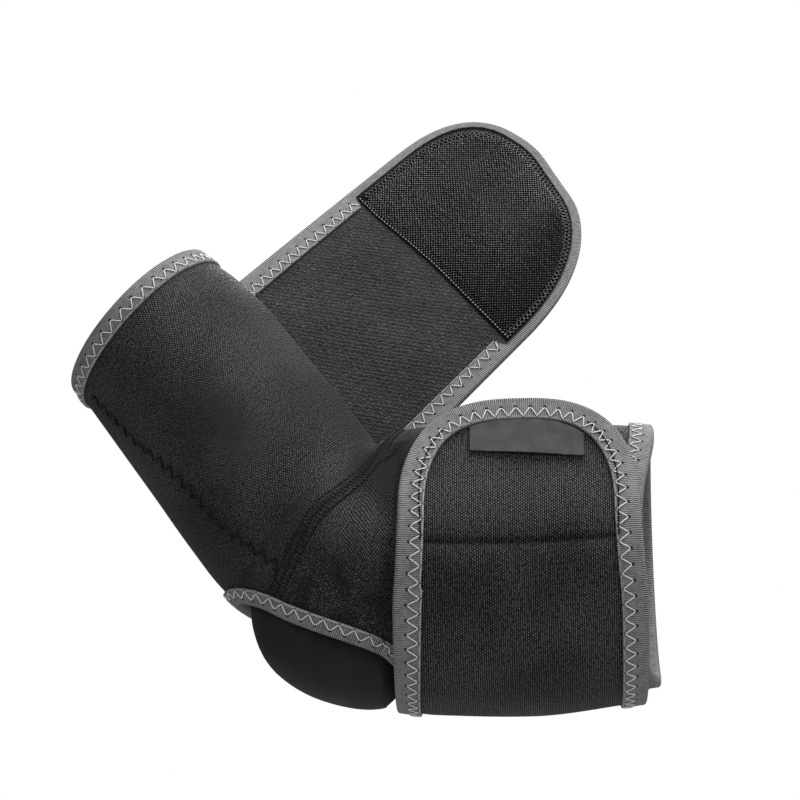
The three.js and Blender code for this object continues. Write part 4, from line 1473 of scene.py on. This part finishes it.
@dataclass
class Sleeve:
    """The two foam panels, the stretch panel at the elbow and their trims."""

    arm: ArmForm
    finishes: Finishes
    relief: SleeveRelief
    columns: int = 180
    rim_tape: float = 8.0
    upper_rim_tape: float = 9.0
    opening_tape: float = 6.5
    opening_clearance: float = 0.8
    dome_margin: float = 1.16
    dome_foot: float = 0.925
    dome_bulge: float = 13.4
    dome_shift: float = 5.0
    dome_thickness: float = 1.0

    def panel(self, name: str, stations: Array, rim: Callable[[Array], Array], end: float,
              side: float, starts: Pair, power: float) -> Piece:
        """Make one panel, with its share of the opening cut into the elbow side.

        Args:
            name: the piece's name.
            stations: the rows' stations before they are warped to the rim and the seam.
            rim: gives the rim's station.
            end: the outermost row's station.
            side: -1 for the forearm's panel, 1 for the upper arm's.
            starts: stations where the warps to the rim and to the seam begin.
            power: how late the warp to the seam sets in.

        Returns:
            The panel.
        """
        arm = self.arm
        half = arm.opening_half(stations)[:, None]
        j = np.linspace(0, 1, self.columns)[None, :]
        theta = -90 + half + (360 - 2 * half) * j
        s = np.broadcast_to(stations[:, None], theta.shape)
        to_rim = np.clip((s - starts[0]) / (end - starts[0]), 0, 1)
        to_seam = np.clip((s - starts[1]) / (arm.seam_station - starts[1]), 0, 1) ** power
        seam = arm.seam(theta) - arm.seam_station + side * arm.half_seam_gap(theta)
        s = s + (rim(theta) - end) * to_rim + seam * to_seam
        folds = self.relief.folds(s, theta)
        outer = arm.point(s, theta, folds + self.relief.height(s, theta))
        inner = arm.point(s, theta, folds - FOAM)
        girth = np.zeros(s.shape)
        girth[:, 1:] = np.cumsum(np.linalg.norm(np.diff(outer, axis=1), axis=-1), axis=1)
        girth -= girth[:, self.columns // 2][:, None]
        length = np.zeros(s.shape)
        length[1:] = np.cumsum(np.linalg.norm(np.diff(outer, axis=0), axis=-1), axis=0)
        open_rows = (half[:-1, 0] > 0.01) | (half[1:, 0] > 0.01)
        shell = two_faced(outer, inner, paired(girth, length), walls=open_rows)
        return make_piece(name, shell, [self.finishes.jersey, self.finishes.lining])

    def opening_rows(self, low: float, high: float, count: int) -> Array:
        """Stations across part of the opening, closer near its ends."""
        arm = self.arm
        a = [math.asin(max(-1, min(1, (v - arm.opening_centre) / arm.opening_half_length)))
             for v in (low, high)]
        return arm.opening_centre + arm.opening_half_length * np.sin(np.linspace(*a, count))

    def forearm_panel(self) -> Piece:
        """Make the forearm panel."""
        arm = self.arm
        opens = arm.opening_centre - arm.opening_half_length
        end = -arm.forearm_length
        stations = np.concatenate([np.linspace(end, opens, 84, endpoint=False),
                                   self.opening_rows(opens, arm.seam_station, 24)])
        return self.panel("sleeve_forearm", stations, arm.forearm_rim, end, -1, (0.0, end), 3)

    def upper_panel(self) -> Piece:
        """Make the upper-arm panel."""
        arm = self.arm
        opens = arm.opening_centre + arm.opening_half_length
        end = arm.bend_span + arm.upper_length
        stations = np.concatenate([self.opening_rows(arm.seam_station, opens, 54),
                                   np.linspace(opens, end, 66)[1:]])
        return self.panel("sleeve_upper_arm", stations, arm.upper_rim, end, 1, (opens, opens), 1)

    def elbow_panel(self) -> Piece:
        """Make the stretch panel that domes out over the elbow tip.

        The dome rises as 1 - (1 - rise)^3 from its foot to the middle, and the closed
        strap's edge presses it flatter and raises small folds in front of it.
        """
        arm, foot = self.arm, self.dome_foot
        seat = -(FOAM + self.opening_clearance + TAPE + 2 * CLEARANCE)
        share = np.linspace(0, self.dome_margin, 70)[:, None]
        a = np.linspace(0, 2 * np.pi, 145)[None, :]
        rise = np.clip((foot - share) / foot, 0, 1)
        s = (arm.opening_centre - share * arm.opening_half_length * np.cos(a)
             + self.dome_shift * rise ** 2)
        theta = -90 + share * arm.opening_half_angle * np.sin(a)
        beyond = s - (CLOSED_CENTRE - CLOSED_HALF_WIDTH)
        dome = (self.dome_bulge * (1 - 0.45 * smoothstep(beyond, -9, 1)) * (1 - (1 - rise) ** 3)
                + 0.35 * np.sin(theta / 5.5 + s / 9) * bump(beyond + 10, 7) * rise
                - 0.7 * bump(beyond + 5 + 0.1 * (theta + 90), 2.5) * rise)
        outer = arm.point(s, theta, seat + dome)
        inner = arm.point(s, theta, seat + dome - self.dome_thickness)
        radius = share * arm.opening_half_length * 1.3
        cloth = paired(radius * np.cos(a), radius * np.sin(a))
        shell = two_faced(outer, inner, cloth, walls=np.zeros(69, bool))
        return make_piece("elbow_panel", shell, [self.finishes.stretch] * 2)

    def rim_line(self, rim: Callable[[Array], Array], side: float) -> EdgeLine:
        """Return the edge line of a rim."""
        theta = np.linspace(-90, 270, 361)[:-1]
        return EdgeLine(self.arm, paired(rim(theta), theta), side, True)

    def opening_line(self) -> EdgeLine:
        """Return the edge line of the elbow opening."""
        arm = self.arm
        a = np.linspace(0, 2 * np.pi, 361)[:-1]
        s = arm.opening_centre - arm.opening_half_length * np.cos(a)
        theta = -90 + arm.opening_half_angle * np.sin(a)
        return EdgeLine(arm, paired(s, theta), 1, True)

    def bindings(self) -> list[Binding]:
        """Return the three bindings of the sleeve."""
        rim = self.rim_line(self.arm.forearm_rim, -1)
        upper = self.rim_line(self.arm.upper_rim, 1)
        return [
            Binding("binding_forearm_rim", rim, self.rim_tape, stitch_near=3.2, stitch_far=7.2),
            Binding("binding_upper_rim", upper, self.upper_rim_tape, stitch_near=3.8,
                    stitch_far=8.1),
            Binding("binding_elbow_opening", self.opening_line(), self.opening_tape,
                    self.opening_clearance, stitch_near=2.2, stitch_far=5.8),
        ]


# The straps


@dataclass
class Strap:
    """A foam strap with its binding, hook patch and stitching."""

    name: str
    form: StrapForm
    finishes: Finishes
    tape_width: float = 9.5
    tape_width_under_pad: float = 3.6
    spacing: float = 1.6
    end_rows: int = 54
    columns: int = 74
    shows_hooks: bool = False
    hook_rows: float = 0.88
    hook_spacing: float = 1.72
    hook_height: float = 0.75
    hook_way: Pair = (0.8, 0.6)
    hook_turn: float = 0.16
    hook_spread: float = 0.07
    hook_rings: tuple[HookRing, ...] = (
        HookRing(along=0.0, up=-0.1 / 0.72, thick=0.16),
        HookRing(along=0.0, up=0.44 / 0.72, thick=0.15),
        HookRing(along=0.12, up=0.7 / 0.72, thick=0.17),
        HookRing(along=0.5, up=0.68 / 0.72, thick=0.12),
    )
    hooks_from: float = 3.6
    hooks_start: float = 1.7
    border_height: float = 0.35
    border_row: float = 2.4
    border_groove: float = 0.2
    border_pitch: float = 2.4
    border_thread: float = 0.24
    border_start: float = 2.5
    border_width: float = 2.0
    border_zigzags: tuple[Pair, ...] = ((0.0, 0.3), (1.7, 0.0))
    dot_pitch: float = 1.75
    dot_thread: float = 0.28
    pad_stitch_reach: float = 58.0
    pad_stitch_pitch: float = 2.6
    pad_edge_thread: float = 0.34
    pad_row_thread: float = 0.2
    pad_stitch_insets: Pair = (8.5, 5.6)

    def cloth(self) -> Piece:
        """Make the strap's foam cloth."""
        form = self.form
        root = -form.wrapped - form.root
        rows = round((form.tip - form.rounding - root) / self.spacing)
        t, w = form.grid(root, rows, self.end_rows, self.columns)
        outer = form.point(t, w, np.zeros(t.shape))
        inner = form.point(t, w, np.full(t.shape, -FOAM))
        shell = two_faced(outer, inner, paired(t, w))
        return make_piece(f"strap_{self.name}", shell,
                          [self.finishes.jersey, self.finishes.lining])

    @property
    def patch_start(self) -> float:
        """Place of the hook patch's straight edge."""
        return self.form.tip - self.form.pad_length

    @cached_property
    def patch_edge(self) -> Array:
        """Flat places round the hook patch, up one side, round and back."""
        return self.form.edge(self.patch_start, self.form.pad_margin)

    @cached_property
    def patch_outline(self) -> Array:
        """Flat places round the hook patch, the straight edge included."""
        curve = self.patch_edge
        straight = paired(self.patch_start, np.linspace(curve[-1, 1], curve[0, 1], 60))
        return np.concatenate([curve, straight])

    def patch_height(self, t: Array, w: Array) -> Array:
        """Return how high the hook ground stands.

        The ground is pressed flat by the stitches round its border and swells inside.
        """
        away = beside(self.patch_outline, paired(t, w).reshape(-1, 2))[0].reshape(np.shape(t))
        swell = self.form.pad - self.hook_height - self.border_height
        groove = self.border_groove * bump(away - self.border_row, 0.7)
        return self.border_height + swell * smoothstep(away, 2.6, 6.5) - groove

    def patch(self) -> Piece:
        """Make the hook patch's ground."""
        form = self.form
        rows = round((form.tip - form.rounding - self.patch_start) / self.spacing) + 6
        t, w = form.grid(self.patch_start, rows, self.end_rows, self.columns, form.pad_margin)
        height = self.patch_height(t, w) if self.shows_hooks else np.full(t.shape, form.pad)
        outer = form.point(t, w, np.full(t.shape, PAD_FACE))
        inner = form.point(t, w, PAD_FACE - height)
        shell = two_faced(outer, inner, paired(t, w))
        return make_piece(f"hook_patch_{self.name}", shell, [self.finishes.hook_ground] * 2)

    def hooks(self) -> Piece:
        """Make the moulded hooks: staggered rows of small bent stems."""
        form = self.form
        t, w = np.meshgrid(np.arange(self.patch_start, form.tip, self.hook_rows),
                           np.arange(-form.half_width, form.half_width, self.hook_spacing),
                           indexing="ij")
        w = w + self.hook_spacing / 2 * (np.arange(len(t)) % 2)[:, None]
        t, w = t.ravel(), w.ravel()
        reach, half, _ = form.outline(self.patch_start, 40, 60, form.pad_margin)
        upright = form.leaned(t, -w, form.lean(t))
        away = beside(self.patch_edge, paired(t, w))[0]
        kept = ((np.abs(w) < np.interp(upright, reach, half, right=0)) & (away > self.hooks_from)
                & (t > self.patch_start + self.hooks_start))
        t, w = t[kept], w[kept]
        height = self.patch_height(t, w)[:, None]
        rng = np.random.default_rng(7)
        turn = rng.normal(0, self.hook_turn, len(t))[:, None]
        size = 1 + rng.normal(0, self.hook_spread, len(t))[:, None]
        along, up, thick = np.array(self.hook_rings).T
        along, up = along * size, up * size * self.hook_height
        points = []
        for a, b in ((1, 0), (0, 1), (-1, 0), (0, -1)):
            ring_w = w[:, None] - self.hook_way[1] * along + thick * a
            ring_t = t[:, None] + (self.hook_way[0] + turn) * along + thick * b
            points.append(form.point(ring_t, ring_w, PAD_FACE - height - up))
        points = np.stack(points, axis=2)
        count, rings, sides = points.shape[:3]
        cap = rings * sides - 1 - np.arange(sides)
        single = np.concatenate([grid_quads(rings, sides, wrap_columns=True), [cap]])
        quads = (single + np.arange(count)[:, None, None] * rings * sides).reshape(-1, 4)
        cloth = np.repeat(paired(t, w), rings * sides, axis=0)
        shell = Shell(points.reshape(-1, 3), quads, cloth, np.zeros(len(quads), int))
        return make_piece(f"hooks_{self.name}", shell, [self.finishes.hooks], merge=FINE_MERGE)

    def border_stitch(self) -> Piece:
        """Make the two dark zigzags that sew the patch down all round."""
        form = self.form
        curve = form.edge(self.patch_start + self.border_start, form.pad_margin)
        line = EdgeLine(form, curve, -1)
        total = line.lengths[-1]
        count = round(total / self.border_pitch)
        x = np.linspace(0, total, count * 6 + 1)
        threads = []
        for near, shift in self.border_zigzags:
            wave = triangle(x / total * count + shift)
            arch = 1 - np.abs(2 * wave - 1) ** 4
            rise = PAD_FACE - self.border_height - 0.12 - 0.25 * arch
            threads.append(line.thread(x, near + self.border_width * wave, rise,
                                       self.border_thread, -1))
        return thread_piece(f"patch_stitch_{self.name}", threads, self.finishes.patch_thread)

    def selvedge(self) -> Piece:
        """Make the row of light dots along the patch's straight edge: painted highlight, light
        thread standing for the glints of the hooks' edges there.
        """
        half = self.form.half(self.patch_start) - self.form.pad_margin - 0.5
        t = np.full(5, self.patch_start + 0.7)
        dot = np.linspace(0, 0.7, 5)
        rise = PAD_FACE - self.border_height - 0.2 - 0.3 * np.sin(np.linspace(0, np.pi, 5))
        dots = [self.form.thread(t, w + dot, rise, self.dot_thread, -1)
                for w in np.arange(-half, half, self.dot_pitch)]
        return thread_piece(f"patch_glint_dots_{self.name}", dots, self.finishes.glint_dot_thread)

    def pad_stitch(self) -> Piece:
        """Make the dark stitches that show on the outside round the pad."""
        form, reach, pitch = self.form, self.pad_stitch_reach, self.pad_stitch_pitch
        line = EdgeLine(form, form.edge(self.patch_start), -1)
        total = line.lengths[-1]
        stitch = np.linspace(0, pitch * 0.8, 6)
        arch = np.sin(np.linspace(0, np.pi, 6))
        half = form.half(self.patch_start) - self.tape_width
        threads = []
        for x in (*np.arange(0, reach, pitch), *np.arange(total - reach, total, pitch)):
            along = x + stitch
            if along[-1] < total:
                inward = np.interp(np.minimum(along, total - along) / reach, (0, 1),
                                   self.pad_stitch_insets)
                rise = CLEARANCE + TAPE - 0.05 + 0.35 * arch
                threads.append(line.thread(along, inward, rise, self.pad_edge_thread))
        across = np.full(6, self.patch_start)
        threads += [form.thread(across, w + stitch, 0.15 * arch, self.pad_row_thread)
                    for w in np.arange(-half, half, pitch)]
        return thread_piece(f"pad_stitch_{self.name}", threads, self.finishes.dark_thread)

    def binding(self) -> Binding:
        """Return the tape round the strap's edge."""
        form = self.form
        line = EdgeLine(form, form.edge(-form.wrapped), -1)

        def inner(x: Array) -> Array:
            t = line.at(x)[0][:, 0]
            under = smoothstep(t, self.patch_start - 4, self.patch_start - 1)
            return self.tape_width + (self.tape_width_under_pad - self.tape_width) * under

        return Binding(f"binding_strap_{self.name}", line, self.tape_width, stitch_near=4.4,
                       stitch_far=8.6, narrow_from=inner)


@dataclass
class Tag:
    """The plain woven tag on the closed strap."""

    form: StrapForm
    finishes: Finishes
    length: float = 46.2
    width: float = 16.8
    thickness: float = 0.7
    shift: float = 3.5
    tilt: float = 0.085
    tape_width: float = 9.5
    loose: float = 0.55
    wave: float = 0.35
    pucker: float = 0.3
    pucker_pitch: float = 7.5

    def top(self, w: Array) -> Array:
        """Place of the tape's inner edge at w."""
        form = self.form
        margin = self.tape_width + CLEARANCE
        start = form.tip - form.rounding
        half = form.half(start) - margin
        bulge = (1 - np.abs(w / half) ** form.end_power) ** (1 / form.end_power)
        return start + (form.rounding - margin) * bulge

    def piece(self) -> Piece:
        """Make the tag."""
        w = self.shift + self.length * np.linspace(-0.5, 0.5, 90)[None, :]
        lower = self.top(np.array(self.shift)) - self.width - self.tilt * (w - self.shift)
        k = np.linspace(0, 1, 24)[:, None]
        t = lower + (self.top(w) - lower) * k
        w = np.broadcast_to(w, t.shape)
        lifted = (1 - k) ** 2 * (self.loose + self.wave * np.sin(w / 6.5 + 1))
        ripple = np.cos(w * 2 * np.pi / self.pucker_pitch) * bump(w - 5, 14)
        rise = CLEARANCE + lifted + self.pucker * bump(k - 0.8, 0.22) * ripple * (k < 1)
        outer = self.form.point(t, w, rise + self.thickness)
        inner = self.form.point(t, w, rise)
        shell = two_faced(outer, inner, paired(t, w))
        return make_piece("woven_tag", shell, [self.finishes.woven] * 2)


# The studio


@dataclass
class Studio:
    """Pale floor, soft lights and the camera at the photograph's angle."""

    eye: Triple = (0.0846, -1.0729, -0.2439)
    right: Triple = (0.99802, 0.06004, -0.01867)
    ahead: Triple = (-0.05234, 0.95782, 0.28257)
    lens: float = 117.86
    floor_height: float = -0.45
    floor_size: float = 40.0
    sky_light: float = 0.2
    middle: Triple = (0.0, 0.03, 0.08)
    lamps: tuple[tuple[str, Triple, float, float], ...] = (
        ("overhead", (0.35, -0.15, 1.2), 0.7, 24.0),
        ("front_left", (-0.9, -1.0, 0.5), 0.7, 4.0),
        ("front_right", (0.9, -1.0, 0.45), 0.6, 8.0),
        ("behind", (0.1, 1.1, 0.8), 0.8, 8.0),
    )

    def camera(self) -> Piece:
        """Make the camera."""
        data = bpy.data.cameras.new("camera")
        data.lens = self.lens
        data.sensor_width = 36
        data.clip_start, data.clip_end = 0.05, 20
        camera = bpy.data.objects.new("camera", data)
        right, ahead = np.array(self.right), np.array(self.ahead)
        up = np.cross(right, ahead)
        turn = np.eye(4)
        turn[:3, 0], turn[:3, 1], turn[:3, 2], turn[:3, 3] = right, up, -ahead, self.eye
        camera.matrix_world = Matrix(turn.tolist())
        bpy.context.scene.collection.objects.link(camera)
        bpy.context.scene.camera = camera
        return camera

    def lamp(self, name: str, place: Triple, size: float,
             power: float) -> None:
        """Make a soft lamp that faces the brace."""
        data = bpy.data.lights.new(name, "AREA")
        data.size, data.energy = size, power
        lamp = bpy.data.objects.new(name, data)
        lamp.location = place
        lamp.rotation_mode = "QUATERNION"
        lamp.rotation_quaternion = (Vector(place) - Vector(self.middle)).to_track_quat("Z", "Y")
        bpy.context.scene.collection.objects.link(lamp)

    def ground(self, material: Material) -> None:
        """Make the pale floor."""
        half = self.floor_size / 2
        mesh = bpy.data.meshes.new("floor")
        corners = [(-half, -half), (half, -half), (half, half), (-half, half)]
        mesh.from_pydata([(x, y, self.floor_height) for x, y in corners], [], [(0, 1, 2, 3)])
        mesh.materials.append(material)
        floor = bpy.data.objects.new("floor", mesh)
        bpy.context.scene.collection.objects.link(floor)
        floor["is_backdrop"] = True

    def sky(self) -> None:
        """Make the world: white behind the brace, and a dimmer even light on it."""
        world = bpy.data.worlds.new("studio")
        world.use_nodes = True
        g = Graph(world.node_tree)
        background = world.node_tree.nodes["Background"]
        background.inputs["Color"].default_value = (1, 1, 1, 1)
        seen = g.node("ShaderNodeLightPath").outputs["Is Camera Ray"]
        strength = g.line(seen, 1.0 - self.sky_light, self.sky_light)
        g.tree.links.new(strength, background.inputs["Strength"])
        bpy.context.scene.world = world
        bpy.context.scene.view_settings.view_transform = "Standard"

    def build(self, floor: Material) -> None:
        """Make the floor, the lights, the world and the camera."""
        self.camera()
        self.ground(floor)
        self.sky()
        for name, place, size, power in self.lamps:
            self.lamp(name, place, size, power)


def place_piece(piece: Piece, slot: str, *nodes: str) -> Piece:
    """Ride a piece on the body and hide the nodes that it stands for."""
    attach(piece, ROOT)
    if nodes:
        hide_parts(*nodes)
    log.info("%s: %d faces", piece.name, len(piece.data.polygons))
    return piece


def open_form(arm: ArmForm) -> StrapForm:
    """Return the form of the forearm's strap, which stands open."""
    return StrapForm(
        arm, centre=-47, across=-1, skew=-0.175, leave=192.8, wrap_way=-1, wrap_degrees=0,
        curl=-2000, twist=0.44, half_width=58.1, taper=0.006, taper_start=0, tip=224.5,
        rounding=67.5, pad_length=84, pad=1.6, tip_skew=0.228, dents=(
            Dent(t=224, w=-12, long=15, wide=16, height=4.5),
            Dent(t=196, w=-16, long=26, wide=24, height=1.2),
            Dent(t=150, w=25, long=40, wide=20, height=0.8)))


def closed_form(arm: ArmForm) -> StrapForm:
    """Return the form of the upper arm's strap, with a stitched groove across it."""
    return StrapForm(
        arm, centre=CLOSED_CENTRE, across=1, skew=0.017, leave=20, wrap_way=1, wrap_degrees=195,
        curl=900, twist=0, half_width=CLOSED_HALF_WIDTH, taper=0.047, taper_start=-63, tip=38.8,
        rounding=54.2, pad_length=64, pad=0.8, tip_skew=0, fine_rows=(-25.2,), dents=(
            Dent(t=-25.2, w=0, long=1.25, wide=39, height=-2.0, power=10),
            Dent(t=-25.2, w=0, long=4.5, wide=39, height=-0.6, power=10),
            Dent(t=-20.5, w=2, long=3.5, wide=36, height=0.35, power=8, pitch=8.5),
            Dent(t=-31, w=0, long=3.5, wide=36, height=0.3, power=8, pitch=10.5)))


def place_binding(binding: Binding, face: Face, finishes: Finishes, node: str
                  ) -> list[Piece]:
    """Place a tape that stands for a node, and the zigzag on one face."""
    return [place_piece(binding.tape(finishes.tape), "edge_tape", node),
            place_piece(binding.zigzag(face, finishes.light_thread), "edge_tape")]


def place_strap(strap: Strap, face: Face, node: str
                ) -> tuple[Piece, list[Piece]]:
    """Place a strap and its trims.

    Args:
        strap: the strap.
        face: the face on which its tape's thread shows.
        node: what the names of its nodes start with.

    Returns:
        The strap's cloth, and its trims.
    """
    cloth = place_piece(strap.cloth(), "knit_foam", f"{node}_strap")
    trims = [place_piece(strap.patch(), "hook_tape", f"{node}_hook_pad"),
             *place_binding(strap.binding(), face, strap.finishes, f"{node}_strap_binding")]
    if strap.shows_hooks:
        trims += [place_piece(piece, "hook_tape")
                  for piece in (strap.hooks(), strap.border_stitch(), strap.selvedge())]
    else:
        trims.append(place_piece(strap.pad_stitch(), "knit_foam"))
    return cloth, trims


def main() -> None:
    """Build the brace's sub-assemblies in order, then the studio."""
    arm, finishes = ArmForm(), Finishes()
    relief = SleeveRelief(arm)
    sleeve = Sleeve(arm, finishes, relief)
    forearm = place_piece(sleeve.forearm_panel(), "knit_foam", "forearm_sleeve")
    upper = place_piece(sleeve.upper_panel(), "knit_foam", "upper_arm_sleeve")
    elbow = place_piece(sleeve.elbow_panel(), "stretch_panel", "elbow_insert")
    open_strap = Strap("open", open_form(arm), finishes, shows_hooks=True)
    opened, open_trims = place_strap(open_strap, Face.INNER, "forearm")
    closed_strap = Strap("closed", closed_form(arm), finishes)
    closed, closed_trims = place_strap(closed_strap, Face.OUTER, "upper_arm")
    tag = place_piece(Tag(closed_strap.form, finishes).piece(), "woven_label", "label")
    rims = [place_binding(binding, Face.OUTER, finishes, node) for binding, node in zip(
        sleeve.bindings(),
        ("forearm_rim_binding", "upper_arm_rim_binding", "elbow_opening_binding"))]
    seams = [place_piece(piece, "knit_foam") for piece in (
        relief.thread_row(finishes.dark_thread), *relief.seam_threads(finishes.dark_thread))]
    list(rims[0])
    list(rims[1])
    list(rims[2])
    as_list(open_trims)
    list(closed_trims)
    Studio().build(finishes.floor)


def write_sizes() -> None:
    boxes = {"cad": CAD_BOUNDS, "visual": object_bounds()}
    plain = {key: [list(corner) for corner in box] for key, box in boxes.items()}


if __name__ == "__main__":
    logging.basicConfig(level=logging.INFO, format="%(message)s")
    main()
    write_sizes()
